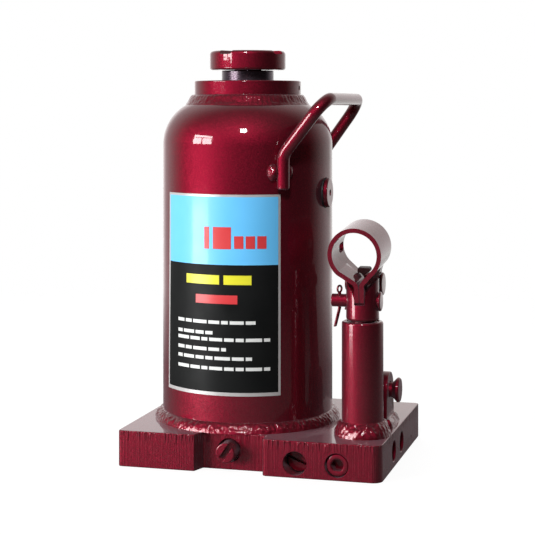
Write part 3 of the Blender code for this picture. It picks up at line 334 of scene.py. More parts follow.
def stacked(name, layers, material, place=UPRIGHT):
    """A solid from (points, height) layers, outlines with equal point counts, joined one above the other."""
    bm = bmesh.new()
    loops = [[bm.verts.new((x, y, height)) for x, y in points] for points, height in layers]
    skin(bm, loops)
    bm.faces.new(loops[0])
    bm.faces.new(loops[-1])
    return add_mesh(name, bm, material, place)


def prism(name, outline, low, high, material, place=UPRIGHT):
    return stacked(name, [(outline, low), (outline, high)], material, place)


def grown(outline, distance):
    """An outline moved outward by a distance (inward if negative)."""
    turning = sum(a[0] * b[1] - b[0] * a[1] for a, b in zip(outline, outline[1:] + outline[:1]))
    side = 1.0 if turning > 0 else -1.0
    moved = []
    for k, (x, y) in enumerate(outline):
        before, after = Vector(outline[k - 1]), Vector(outline[(k + 1) % len(outline)])
        into, out = (Vector((x, y)) - before).normalized(), (after - Vector((x, y))).normalized()
        normal = Vector((into.y + out.y, -into.x - out.x)).normalized() * side
        lean = max(normal.dot(Vector((into.y, -into.x)) * side), 0.3)
        moved.append((x + normal.x * distance / lean, y + normal.y * distance / lean))
    return moved


def edged_prism(name, outline, low, high, edge, material, place=UPRIGHT, steps=3):
    """A prism whose two rims are rounded."""
    rim = [(edge * (1 - math.sin(a)), edge * (1 - math.cos(a)))
           for a in (math.pi / 2 * k / steps for k in range(steps + 1))]
    layers = [(grown(outline, -inset), low + rise) for inset, rise in rim]
    layers += [(grown(outline, -inset), high - rise) for inset, rise in reversed(rim)]
    return stacked(name, layers, material, place)


def swept(name, path, radius, material, sides=20):
    """A round bar along a path, with domed ends."""
    path = [Vector(p) for p in path]
    round_off = 0.35                     # share of the radius that the domed end takes up
    first, last = (path[1] - path[0]).normalized(), (path[-1] - path[-2]).normalized()
    dome = []
    for angle in (math.pi / 2 * k / 4 for k in range(1, 5)):
        dome.append((radius * round_off * math.cos(angle),
                     radius * (1.0 - round_off + round_off * math.sin(angle))))
    stations = [(path[0] - first * ahead, width) for ahead, width in dome]
    stations += [(p, radius) for p in path[1:-1]]
    stations += [(path[-1] + last * ahead, width) for ahead, width in reversed(dome)]
    bm = bmesh.new()
    across = first.orthogonal().normalized()
    rings = []
    for k, (point, width) in enumerate(stations):
        ahead = stations[min(k + 1, len(stations) - 1)][0] - stations[max(k - 1, 0)][0]
        along = ahead.normalized()
        across = (across - along * across.dot(along)).normalized()
        other = along.cross(across)
        rings.append([bm.verts.new(point + across * x + other * y)
                      for x, y in arc(0, 0, width, 0, 360, sides)[:-1]])
    skin(bm, rings)
    bm.faces.new(rings[0])
    bm.faces.new(rings[-1])
    return add_mesh(name, bm, material)


def baked(piece):
    """Apply a piece's modifiers."""
    graph = bpy.context.evaluated_depsgraph_get()
    mesh = bpy.data.meshes.new_from_object(piece.evaluated_get(graph))
    mesh.name = piece.name
    piece.modifiers.clear()
    piece.data = mesh
    mesh.shade_smooth()
    mesh.set_sharp_from_angle(angle=SHARP_ANGLE)
    return piece


def carved(piece, *tools, operation="DIFFERENCE", edge=0.0):
    """Cut tools out of a piece (or keep only what is inside them), and round the edges that this leaves."""
    for tool in tools:
        step = piece.modifiers.new("Carve", "BOOLEAN")
        step.operation = operation
        step.solver = "EXACT"
        step.object = tool
    baked(piece)
    for tool in tools:
        bpy.data.objects.remove(tool)
    if edge:
        soften = piece.modifiers.new("Edge", "BEVEL")
        soften.width = edge
        soften.segments = 2
        soften.limit_method = "ANGLE"
        soften.angle_limit = SHARP_ANGLE
        baked(piece)
    return piece


def hole(radius, depth, place, chamfer=0.0003, steps=PIN_STEPS):
    """A tool for a blind hole along its own +Z, with a chamfered mouth at z = 0."""
    ahead = 0.002
    profile = [(0.0, -ahead), (radius + chamfer + ahead, -ahead), (radius, chamfer), (radius, depth),
               (0.0, depth)]
    return turned("tool", profile, PAINT, place, steps)


def rod_tool(radius, reach, place, steps=PIN_STEPS):
    """A tool for a plain bore, as long to either side of its middle."""
    profile = [(0.0, -reach), (radius, -reach), (radius, reach), (0.0, reach)]
    return turned("tool", profile, PAINT, place, steps)


def driver_slot(half_width):
    """Outline of a screwdriver slot, longer than any screw head is wide."""
    half_length = 0.02
    return [(-half_width, -half_length), (half_width, -half_length), (half_width, half_length),
            (-half_width, half_length)]


# ---------------------------------------------------------------- welds
def weld_bead(name, path, reach, height, low, seed, lump=0.12):
    """A closed bead in the corner of floor and wall, along (x, y, out_x, out_y) stations on the wall."""
    bury, ripple, sections = 0.0006, 0.0034, 14
    bm = bmesh.new()
    rings = []
    travelled = 0.0
    for k, (x, y, out_x, out_y) in enumerate(path):
        if k:
            travelled += math.dist(path[k - 1][:2], (x, y))
        ring = [bm.verts.new((x - out_x * bury, y - out_y * bury, low - 0.0001))]
        for j in range(sections + 1):
            angle = math.pi / 2 * j / sections
            swell = 1.0 - 0.10 * math.sin(2 * angle)
            outward, up = reach * swell * math.cos(angle), height * swell * math.sin(angle)
            spot = Vector((x + out_x * outward, y + out_y * outward, low + up))
            crescent = math.cos(2 * math.pi * (travelled / ripple + 0.55 * math.sin(2 * angle)))
            wave = noise.noise(spot * 160.0 + Vector((seed, 0, 0)))
            grain = noise.noise(spot * 620.0 + Vector((0, seed, 0)))
            stretch = 1.0 + math.sin(2 * angle) ** 0.5 * (0.012 * crescent + lump * wave + 0.11 * grain)
            stretch += 0.5 * lump * noise.noise(spot * 90.0 + Vector((0, 0, seed))) * math.cos(2 * angle) ** 2
            ring.append(bm.verts.new((x + out_x * outward * stretch, y + out_y * outward * stretch,
                                      low + up * stretch)))
        ring.append(bm.verts.new((x - out_x * bury, y - out_y * bury, low + height)))
        rings.append(ring)
    skin(bm, rings, close=True)
    return add_mesh(name, bm, WELD_PAINT)


def ring_path(middle, radius, count):
    angles = [2 * math.pi * k / count for k in range(count)]
    return [(middle.x + radius * math.cos(a), middle.y + radius * math.sin(a), math.cos(a), math.sin(a))
            for a in angles]


def weld_lump(name, place, radii, seed):
    """One blob of weld metal."""
    bm = bmesh.new()
    bmesh.ops.create_uvsphere(bm, u_segments=36, v_segments=20, radius=1.0)
    for vertex in bm.verts:
        spot = vertex.co * 1.3 + Vector((seed, seed, 0))
        swell = 1.0 + 0.16 * noise.noise(spot) + 0.06 * noise.noise(spot * 3.0)
        vertex.co = Vector((vertex.co.x * radii[0], vertex.co.y * radii[1], vertex.co.z * radii[2])) * swell
    return add_mesh(name, bm, WELD_PAINT, at(place))


# ---------------------------------------------------------------- joining the frame
def settle(pieces, body, nodes=()):
    """Ride the pieces on a body; the first of them stands for the CAD nodes."""
    for piece in pieces:
        if piece.data.materials[0] != WELD_PAINT:
            flatten = piece.modifiers.new("Flat faces", "WEIGHTED_NORMAL")
            flatten.keep_sharp = True
        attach(piece, body)
    if nodes:
        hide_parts(*nodes)


# ---------------------------------------------------------------- base
POCKET_LEFT, POCKET_RIGHT = -0.0131, 0.0244
POCKET_DEPTH, POCKET_SLANT = 0.0085, 0.0026
FRONT_HOLE, SIDE_HOLE = 0.0063, 0.0055


def base_outline():
    """The plate from above, with the release valve's pocket in the front edge."""
    small, large, fillet = 0.0020, 0.0054, 0.0022
    left, back, floor = BASE_LOW.x, BASE_HIGH.y, FRONT + POCKET_DEPTH
    corners = [(left, FRONT, small), (POCKET_LEFT, FRONT, 0.0004),
               (POCKET_LEFT + POCKET_SLANT, floor, 0.0008), (POCKET_RIGHT, floor, fillet),
               (POCKET_RIGHT, FRONT, fillet), (RIGHT, FRONT, large),
               (RIGHT, back, small), (left, back, small)]
    return filleted(corners, 8)


def make_base():
    block = edged_prism("base_block", base_outline(), 0.0, BASE_TOP, 0.0005, SAWN_PAINT)
    release, safety, suction = centre("release_spindle"), centre("safety_screw"), centre("suction_plug")
    release_depth, safety_depth, plug_depth = 0.030, 0.027, 0.014
    tools = [hole(FRONT_HOLE, release_depth, at((release.x, FRONT + POCKET_DEPTH, release.z), TO_BACK)),
             hole(FRONT_HOLE, safety_depth, at((safety.x, FRONT, safety.z), TO_BACK)),
             hole(FRONT_HOLE, plug_depth, at((suction.x, FRONT, suction.z), TO_BACK))]
    for node in ("pressure_plug", "delivery_plug"):
        spot = centre(node)
        tools.append(hole(SIDE_HOLE, plug_depth, at((RIGHT, spot.y, spot.z), TO_LEFT), chamfer=0.0004))
    punch_mark = at((RIGHT, 0.0315, 0.0056), TO_LEFT)
    tools.append(hole(0.00075, 0.0012, punch_mark, chamfer=0.0002, steps=24))
    carved(block, *tools)
    settle([block], "root", ["base_plate"])


# ---------------------------------------------------------------- reservoir and ram
SHOULDER_RADIUS, SHOULDER_START, SHOULDER_SPAN = 0.0258, 0.1735, 65
SHELL_WALL = 0.003
PLUG_SEAT = 0.0463                       # flat seat for the filler plug, from the middle


def make_reservoir():
    middle = SHELL_RADIUS - SHOULDER_RADIUS
    inner, bottom, mouth, top = SHELL_RADIUS - SHELL_WALL, BASE_TOP, 0.0302, SHELL_HIGH.z
    profile = [(inner, bottom), (SHELL_RADIUS, bottom)]
    profile += arc(middle, SHOULDER_START, SHOULDER_RADIUS, 0, SHOULDER_SPAN, 28)
    profile += [(mouth, top + 0.0002), (mouth, top - SHELL_WALL)]
    profile += arc(middle, SHOULDER_START, SHOULDER_RADIUS - SHELL_WALL, SHOULDER_SPAN, 0, 14)
    shell = turned("reservoir_tank", profile, PAINT, steps=256)
    plug, ahead = centre("filler_plug"), 0.004
    outside = SHELL_RADIUS + ahead
    profile = [(0.0, 0.0), (0.0084, 0.0), (0.0084, outside - PLUG_SEAT), (0.0058, outside - PLUG_SEAT),
               (0.0058, 0.014), (0.0, 0.014)]
    carved(shell, turned("tool", profile, PAINT, at((outside, plug.y, plug.z), TO_LEFT), 96))
    settle([shell], "root", ["reservoir_shell"])

    foot = weld_bead("reservoir_foot_weld", ring_path(Vector((0, 0, 0)), SHELL_RADIUS, 620), 0.0043, 0.0053,
                     BASE_TOP, 3.1)
    settle([foot], "root", ["shell_weld"])
    settle([make_nut_weld()], "root", ["top_weld"])


def make_nut_weld():
    """A flat, sloping bead from the nut out over the tank's shoulder."""
    wall, around = NUT_HIGH.x, 480
    crest = [(0.0355, 0.1954), (0.0350, 0.1963), (0.0345, 0.1968), (0.0340, 0.1974), (0.0336, 0.1981),
             (0.0332, 0.1988), (0.0328, 0.1996), (0.0323, 0.2005), (0.0318, 0.2012), (0.0311, 0.2016),
             (wall - 0.0002, 0.2017)]
    bm = bmesh.new()
    rings = []
    for k in range(around):
        angle = 2 * math.pi * k / around
        out = Vector((math.cos(angle), math.sin(angle), 0.0))
        ring = [bm.verts.new(out * (wall - 0.0006) + Vector((0, 0, 0.1955))),
                bm.verts.new(out * 0.0340 + Vector((0, 0, 0.1952)))]
        for j, (radius, height) in enumerate(crest):
            spot = out * radius + Vector((0.0, 0.0, height))
            share = math.sin(math.pi * j / (len(crest) - 1)) ** 0.7
            ripple = math.cos(angle * 78 + 2.2 * share)
            rough = 0.9 * noise.noise(spot * 110.0) + 0.4 * noise.noise(spot * 420.0) + 0.10 * ripple
            ring.append(bm.verts.new(spot + (out * 0.75 + Vector((0, 0, 0.65))) * 0.00055 * share * rough))
        rings.append(ring)
    skin(bm, rings, close=True)
    return add_mesh("nut_weld", bm, WELD_PAINT)


def make_nut():
    bore, wiper_bore = 0.0214, 0.0240
    low, high, radius = NUT_LOW.z, NUT_HIGH.z, NUT_HIGH.x
    profile = [(0.0266, low), (radius, low), (radius, high, 0.0007), (bore + 0.0002, high, 0.0003),
               (bore + 0.0002, high - 0.002), (wiper_bore, high - 0.002), (wiper_bore, high - 0.0068),
               (bore, high - 0.0068), (bore, low + 0.0082), (0.0266, low + 0.0082)]
    nut = turned("clamp_nut", profile, PAINT)
    for side, turn in ((1, TO_LEFT), (-1, TO_RIGHT)):
        carved(nut, hole(0.0013, 0.006, at((side * radius, 0.0, 0.2053), turn), chamfer=0.0002, steps=32))
    settle([nut], "root", ["top_nut"])
    low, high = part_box("ram_wiper")
    ram = 0.0210
    wiper = turned("wiper_lip", [(ram + 0.0002, low.z), (high.x, low.z), (high.x, high.z), (0.0224, high.z),
                                 (ram + 0.00015, high.z - 0.0010)], RUBBER)
    settle([wiper], "root", ["ram_wiper"])


def make_ram():
    rod, bore, piston = 0.0210, 0.01535, 0.0227
    low, top, deep = RAM_LOW.z, RAM_HIGH.z, SCREW_LOW.z - 0.006
    groove = piston - 0.0032
    profile = [(0.0, low), (piston, low, 0.0009)]
    for start, end in ((0.004, 0.0092), (0.0112, 0.0132)):
        profile += [(piston, low + start), (groove, low + start), (groove, low + end), (piston, low + end)]
    profile += [(piston, low + 0.016, 0.0004), (rod, low + 0.016), (rod, top, 0.0010),
                (bore + 0.0012, top, 0.0002), (bore, top - 0.0014), (bore, deep), (0.0, deep - 0.004)]
    ram = turned("ram_rod", profile, GROUND_STEEL)
    settle([ram], "ram", ["ram"])


def make_extension_screw():
    """Rolled thread with a 5 mm pitch below a plain neck, and the spigot that carries the saddle."""
    major, minor, pitch = 0.0148, 0.0132, 0.005
    low, neck_top, thread_top = SCREW_LOW.z, 0.2152, 0.2035
    around, rows_per_pitch = 96, 12
    rows = int((thread_top - low - 0.003) / pitch * rows_per_pitch)
    bm = bmesh.new()
    rings = [circle(bm, 0.0, low, around), circle(bm, minor - 0.0004, low, around)]
    for row in range(rows + 1):
        z = low + 0.001 + (thread_top - low - 0.001) * row / rows
        fade = min(1.0, (z - low) / 0.004, max(0.0, (thread_top - z) / 0.003))
        ring = []
        for k in range(around):
            turn = k / around
            phase = (z / pitch - turn) % 1.0
            flank = max(0.0, min(1.0, 2.9 * abs(phase - 0.5) - 0.30))
            depth = (major - minor) * flank * fade
            angle = 2 * math.pi * turn
            radius = major - depth
            ring.append(bm.verts.new((radius * math.cos(angle), radius * math.sin(angle), z)))
        rings.append(ring)
    spigot, top = 0.0075, SCREW_HIGH.z
    core = spigot - SPIGOT_GROOVE_DEPTH
    upper = filleted([(major, thread_top), (major, neck_top, 0.0006), (spigot, neck_top, 0.0003),
                      (spigot, SPIGOT_GROOVE_LOW), (core, SPIGOT_GROOVE_LOW), (core, SPIGOT_GROOVE_HIGH),
                      (spigot, SPIGOT_GROOVE_HIGH), (spigot, top, 0.0006), (0.0, top)])[1:]
    rings += [circle(bm, radius, z, around) for radius, z in upper]
    skin(bm, rings)
    screw = add_mesh("extension_thread", bm, DARK_STEEL)
    settle([screw], "extension_screw", ["extension_screw"])


def make_saddle():
    """Forged saddle: a round head with two crossed grooves across its top."""
    low, high, radius = SADDLE_LOW.z, SADDLE_HIGH.z, SADDLE_HIGH.x
    bore, bore_top, dish, dish_floor = 0.0078, 0.2223, 0.0074, high - 0.0016
    ring_groove = bore + SPIGOT_GROOVE_DEPTH
    profile = [(bore, low, 0.0003), (radius, low, 0.0014), (radius, high, 0.0020), (dish, high, 0.0004),
               (dish - 0.0012, dish_floor, 0.0004), (0.0, dish_floor), (0.0, bore_top), (bore, bore_top),
               (bore, SPIGOT_GROOVE_HIGH), (ring_groove, SPIGOT_GROOVE_HIGH),
               (ring_groove, SPIGOT_GROOVE_LOW), (bore, SPIGOT_GROOVE_LOW)]
    saddle = turned("saddle_head", profile, PAINT)
    width, deep = 0.0085, 0.0022
    channel = filleted([(-width / 2 - 0.0006, 0.002), (-width / 2 + 0.0008, -deep, 0.0006),
                        (width / 2 - 0.0008, -deep, 0.0006), (width / 2 + 0.0006, 0.002)])
    tools = []
    for number, angle in enumerate((-20.0, 70.0)):
        turn = Euler((math.pi / 2, 0.0, math.radians(angle + 90))).to_matrix().to_4x4()
        tools.append(prism("tool", channel, -0.030 - 0.001 * number, 0.030 + 0.001 * number, PAINT,
                           at((0.0, 0.0, high), turn)))
    carved(saddle, *tools, edge=0.00045)
    settle([saddle], "saddle", ["saddle"])


# ---------------------------------------------------------------- pump
PLUNGER_ROD, PLUNGER_HEAD, HEAD_SLOT = 0.0060, 0.0088, 0.0057
LEG_LOBE = 0.0072                        # radius of the socket legs' ends round the plunger pin


def make_pump():
    low, high, radius = BASE_TOP, PUMP_HIGH.z, PUMP_HIGH.x - PUMP.x
    wide, seat, bore = 0.0085, PUMP_HIGH.z - 0.0097, 0.0063
    profile = [(bore, low), (radius, low), (radius, high, 0.0012), (wide, high, 0.0005), (wide, seat),
               (bore, seat)]
    barrel = turned("pump_barrel", profile, PAINT, at(PUMP))
    settle([barrel], "root", ["pump_cylinder"])
    wall = ring_path(PUMP, radius, 260)
    weld = weld_bead("pump_foot_weld", wall, 0.0042, 0.0076, BASE_TOP, 12.3, lump=0.26)
    settle([weld], "root", ["pump_weld"])
    low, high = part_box("pump_gland_ring")
    inner, outer = PLUNGER_ROD + 0.0003, wide - 0.0003
    profile = [(inner, low.z), (outer, low.z), (outer, high.z, 0.0003), (inner, high.z, 0.0003)]
    ring = turned("gland_ring", profile, BRONZE, at(PUMP), PIN_STEPS)
    settle([ring], "root", ["pump_gland_ring"])


def make_plunger():
    """Plunger whose head is slotted into two round-topped ears."""
    low, head_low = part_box("pump_plunger")[0].z, PUMP_HIGH.z + 0.0003
    seal_low, seal_high, neck = low + 0.003, low + 0.0072, PLUNGER_ROD - 0.0022
    inner, outer = 0.0084, 0.0126
    top = PIVOT.z + outer + 0.002
    profile = [(0.0, low), (PLUNGER_ROD, low, 0.0005), (PLUNGER_ROD, seal_low), (neck, seal_low),
               (neck, seal_high), (PLUNGER_ROD, seal_high), (PLUNGER_ROD, head_low),
               (PLUNGER_HEAD, head_low, 0.0016),
               (PLUNGER_HEAD, top), (0.0, top)]
    plunger = turned("plunger_rod", profile, PAINT, at(PUMP), 128)
    wide, sweep, front_wall = 0.012, LEG_LOBE + 0.0004, 0.0014
    first = 180 + math.degrees(math.asin(front_wall / sweep))
    slot = [(-wide, PIVOT.z - front_wall)] + arc(0.0, PIVOT.z, sweep, first, 270, 20)
    slot += [(wide, PIVOT.z - sweep), (wide, top + 0.002), (-wide, top + 0.002)]
    tool = prism("tool", slot, -HEAD_SLOT / 2, HEAD_SLOT / 2, PAINT, at(PUMP, TO_RIGHT))
    carved(plunger, tool)
    edge, flat = PLUNGER_HEAD + 0.0006, 0.003
    across = at((PUMP.x, PUMP.y, PIVOT.z), TO_RIGHT)
    crown = turned("tool", [(0.0, -edge), (outer, -edge), (inner, -flat), (inner, flat), (outer, edge),
                            (0.0, edge)], PAINT, across, 130)
    reach, join, half_deep = PIVOT.z - low + 0.002, 0.0005, 0.0125
    below = prism("tool", [(-wide, -reach), (wide, -reach), (wide, -join), (-wide, -join)], -half_deep,
                  half_deep, PAINT, across)
    carved(crown, below, operation="UNION")
    carved(plunger, crown, operation="INTERSECT")
    carved(plunger, rod_tool(PIVOT_HOLE, 0.013, across), edge=0.0004)
    settle([plunger], "plunger", ["pump_plunger"])


def make_pin(name, node, body, radius, head_radius, head_start, cotter_at, cone=0.0):
    """A headed pin along X with a split pin near its left end."""
    low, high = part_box(node)
    spot = centre(node)
    profile = [(0.0, low.x), (radius, low.x, 0.0005), (radius, head_start - 0.0002)]
    if cone:
        profile += [(radius + 0.0002, head_start), (head_radius, head_start + cone)]
    else:
        profile += [(radius, head_start), (head_radius, head_start, 0.0004)]
    profile += [(head_radius, high.x, 0.0009), (0.0, high.x)]
    pin = turned(name, profile, PAINT, at((0.0, spot.y, spot.z), TO_RIGHT), PIN_STEPS)
    place = Vector((cotter_at, spot.y, spot.z))
    carved(pin, rod_tool(0.0013, 0.010, at(place), 24))
    settle([pin], body, [node])
    cotter = make_cotter(name + "_split_pin", radius, place)
    settle([cotter], body, [node.replace("_pin", "_cotter")])


def make_cotter(name, pin_radius, place):
    """Split pin: a round eye above the pin, and two legs through it whose tails lean to the left."""
    wire, apart, eye = 0.00055, 0.00055, 0.00175
    turn, tail = math.radians(64), 0.0024
    top = pin_radius + 0.0003
    spread = math.asin(apart / eye)
    middle = top + 0.0006 + eye * math.cos(spread)

    def spot(across, z, lean=0.0):
        return place + Vector((across * math.cos(turn) - lean, across * math.sin(turn), z))

    path = [spot(-apart, -pin_radius - 0.0106, tail), spot(-apart, -pin_radius - 0.0008), spot(-apart, top)]
    for k in range(29):
        angle = -math.pi / 2 - spread - (2 * math.pi - 2 * spread) * k / 28
        path.append(spot(eye * math.cos(angle), middle + eye * math.sin(angle)))
    path += [spot(apart, top), spot(apart, -pin_radius - 0.0008), spot(apart, -pin_radius - 0.0104, tail)]
    return swept(name, path, wire, PAINT, sides=12)


# ---------------------------------------------------------------- handle socket
SOCKET_TILT = math.radians(5.5)
SOCKET_FRONT, SOCKET_TUBE_END, SOCKET_REAR = -0.0090, 0.0202, 0.0290
SHEET = 0.0024
RING_RADIUS, RING_SIDE, RING_HEIGHT = 0.0133, -0.0022, 0.0263
CORNER_HEIGHT = 0.0105
GAP_FRONT, GAP_REAR = 0.0002, 0.0036     # half the gap between the legs
FLARE_START, FLARE_END = 0.0097, 0.0125


def omega(half_gap):
    """The sheet's middle line: up the left leg, round the ring and down the right leg."""
    ring_end = 48.0

    def leg(end, side):
        line = side * (half_gap + SHEET / 2)
        corner = Vector((line, CORNER_HEIGHT))
        flank = Vector(end) - corner
        bend = 0.25 * abs(flank.x)
        first, last = corner + flank.normalized() * bend, corner - Vector((0.0, bend))
        points = []
        for t in (k / 8 for k in range(9)):
            points.append(tuple(first * (1 - t) ** 2 + corner * 2 * t * (1 - t) + last * t * t))
        return points + [(line, -0.0110)]

    right = arc(RING_SIDE, RING_HEIGHT, RING_RADIUS, 90, -ring_end, 32)
    left = arc(RING_SIDE, RING_HEIGHT, RING_RADIUS, 90, 180 + ring_end, 32)[1:]
    right += leg(right[-1], 1)
    left += leg(left[-1], -1)
    return left[::-1] + right


def offset_line(points, distance):
    shifted = []
    for k, (x, z) in enumerate(points):
        before, after = Vector(points[max(k - 1, 0)]), Vector(points[min(k + 1, len(points) - 1)])
        along = (after - before).normalized()
        shifted.append((x - along.y * distance, z + along.x * distance))
    return shifted


def make_socket():
    """A sheet bent to an omega: a ring for the handle bar, and two legs that carry the pins."""
    spare, ease_run, ease = 0.001, 0.0005, 0.0004
    stations = ((SOCKET_FRONT - spare, GAP_FRONT), (FLARE_START, GAP_FRONT),
                (FLARE_START + ease_run, GAP_FRONT + ease), (FLARE_END - ease_run, GAP_REAR - ease),
                (FLARE_END, GAP_REAR), (SOCKET_REAR + spare, GAP_REAR))
    bm = bmesh.new()
    loops = []
    for along, half_gap in stations:
        middle = omega(half_gap)
        outline = offset_line(middle, SHEET / 2) + offset_line(middle, -SHEET / 2)[::-1]
        loops.append([bm.verts.new((x, along, z)) for x, z in outline])
    count = len(loops[0])
    skin(bm, loops)
    for loop in (loops[0], loops[-1]):
        for k in range(count // 2 - 1):
            bm.faces.new((loop[k], loop[k + 1], loop[count - 2 - k], loop[count - 1 - k]))
    tilt = Matrix.Rotation(SOCKET_TILT, 4, "X")
    socket = add_mesh("handle_clamp", bm, PAINT, at(PIVOT, tilt))
    local = tilt.to_3x3().inverted() @ (FULCRUM - PIVOT)
    side = [(SOCKET_FRONT, 0.045), (SOCKET_FRONT, 0.0009)]
    side += arc(0.0, 0.0, LEG_LOBE, 185, 350, 22) + [(FLARE_START, 0.0009)]
    side += arc(local.y, local.z, 0.0066, 236, 420, 28)
    side += [(SOCKET_TUBE_END + 0.001, 0.0125), (SOCKET_TUBE_END, 0.0140), (SOCKET_TUBE_END, 0.045)]
    place = at(PIVOT, tilt @ TO_RIGHT)
    carved(socket, prism("tool", side, -0.020, 0.020, PAINT, place), operation="INTERSECT")
    reach = local.yz.normalized()
    slope = math.degrees(math.atan2(reach.y, reach.x))
    slack = 0.0015 * reach
    slot = arc(local.y, local.z, FULCRUM_HOLE, slope - 90, slope + 90, 16)
    slot += arc(local.y - slack.x, local.z - slack.y, FULCRUM_HOLE, slope + 90, slope + 270, 16)
    window_y, window_z, window_half, window_run = 0.0140, 0.0262, 0.0026, 0.0030
    window = arc(window_y + window_run, window_z, window_half, -90, 90, 12)
    window += arc(window_y - window_run, window_z, window_half, 90, 270, 12)
    pivot_hole = arc(0.0, 0.0, PIVOT_HOLE, 0, 360, 48)[:-1]
    carved(socket, prism("tool", pivot_hole, -0.012, 0.012, PAINT, place),
           prism("tool", slot, -0.012, 0.012, PAINT, place),
           prism("tool", window, -0.020, -0.008, PAINT, place), edge=0.0003)
    settle([socket], "handle_socket", ["handle_socket"])

    front, back, left, right, top = 0.0069, 0.0119, -0.0040, 0.0030, 0.0166
    block = filleted([(left, 0.0141, 0.0003), (-0.0002, 0.0126, 0.0003), (right, 0.0147, 0.0003),
                      (right, top, 0.0011), (left, top, 0.0011)])
    # The stop gets the near-black red: painted shade of the hollow under the socket ring.
    stop = edged_prism("bar_stop", block, -back, -front, 0.0004, PAINTED_SHADE_RED, at(PIVOT, tilt @ TO_FRONT))
    settle([stop], "handle_socket", ["handle_stop"])


# ---------------------------------------------------------------- link and bracket
def make_link():
    half, end, top_end = 0.0032, 0.0076, 0.0064
    rise = FULCRUM - LINK_PIVOT
    slope = math.degrees(math.atan2(rise.z, rise.y))
    outline = arc(LINK_PIVOT.y, LINK_PIVOT.z, end, slope + 90, slope + 270, 32)
    outline += arc(FULCRUM.y, FULCRUM.z, top_end, slope - 90, slope + 90, 32)
    link = edged_prism("link_bar", outline, -half, half, 0.0006, PAINT, at((PUMP.x, 0.0, 0.0), TO_RIGHT))
    carved(link, *(rod_tool(radius, 0.006, at((PUMP.x, spot.y, spot.z), TO_RIGHT))
                   for spot, radius in ((LINK_PIVOT, LINK_FOOT_HOLE), (FULCRUM, FULCRUM_HOLE))))
    settle([link], "link", ["link_arm"])


def make_bracket():
    """Two round-topped ears on a foot, and the weld round them."""
    ear, inner, outer, foot = 0.0099, 0.0036, 0.0096, BASE_TOP - 0.0001
    half_x, half_y, corner = outer, ear + 0.0008, 0.0002
    y, z = LINK_PIVOT.y, LINK_PIVOT.z
    outline = arc(y, z, ear, 0, 180, 40) + [(y - half_y, foot), (y + half_y, foot)]
    place = at((PUMP.x, 0.0, 0.0), TO_RIGHT)
    bracket = prism("link_lug", outline, -outer, outer, PAINT, place)
    floor, above = foot + 0.0093, 0.06
    channel = [(-0.03, floor), (0.02, floor), (0.02, above), (-0.03, above)]
    bore = rod_tool(LINK_FOOT_HOLE, 0.013, at((PUMP.x, y, z), TO_RIGHT))
    carved(bracket, prism("tool", channel, -inner, inner, PAINT, place), bore, edge=0.0006)
    settle([bracket], "root", ["link_bracket"])

    path = []
    for sx, sy, start in ((1, 1, 0), (-1, 1, 90), (-1, -1, 180), (1, -1, 270)):
        for x, y_out in arc(0, 0, 1.0, start, start + 90, 14):
            path.append((PUMP.x + sx * half_x + corner * x, y + sy * half_y + corner * y_out, x, y_out))
    dense = []
    for first, second in zip(path, path[1:] + path[:1]):
        count = max(1, round(math.dist(first[:2], second[:2]) / 0.0004))
        dense += [tuple(a + (b - a) * k / count for a, b in zip(first, second)) for k in range(count)]
    weld = weld_bead("lug_weld", dense, 0.0029, 0.0044, BASE_TOP, 21.9, lump=0.30)
    settle([weld], "root", ["bracket_weld"])


# ---------------------------------------------------------------- valves and plugs
def make_release_spindle():
    low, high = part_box("release_spindle")
    spot = centre("release_spindle")
    stem, thread, wall, length = 0.0053, 0.0060, 0.0041, high.y - low.y
    shoulder, neck, groove = POCKET_DEPTH + 0.0022, POCKET_DEPTH + 0.0118, 0.0030
    profile = [(0.0, 0.0), (stem, 0.0, 0.0007), (stem, shoulder, 0.0002), (thread, shoulder, 0.0004),
               (thread, neck - 0.0003), (wall, neck - 0.0003), (wall, neck + 0.0020), (groove, neck + 0.0020),
               (groove, neck + 0.0042), (wall, neck + 0.0042), (wall, length - 0.0015), (0.0026, length),
               (0.0, length)]
    place = at((spot.x, low.y, spot.z), TO_BACK)
    spindle = turned("release_screw", profile, PAINT, place, 96)
    turn = Matrix.Rotation(math.radians(35), 4, "Z")
    carved(spindle, prism("tool", driver_slot(0.0015), -0.001, 0.0042, PAINT, place @ turn), edge=0.0004)
    settle([spindle], "release_spindle", ["release_spindle"])


def make_safety_screw():
    low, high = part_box("safety_screw")
    spot = centre("safety_screw")
    place = at((spot.x, low.y, spot.z), TO_BACK)
    radius, length = 0.0060, high.y - low.y
    screw = turned("valve_screw", [(0.0, 0.0), (radius, 0.0, 0.0005), (radius, length), (0.0, length)],
                   PAINT, place, 96)
    turn = Matrix.Rotation(math.radians(-68), 4, "Z")
    carved(screw, prism("tool", driver_slot(0.0008), -0.001, 0.0020, PAINT, place @ turn), edge=0.0002)
    settle([screw], "root", ["safety_screw"])


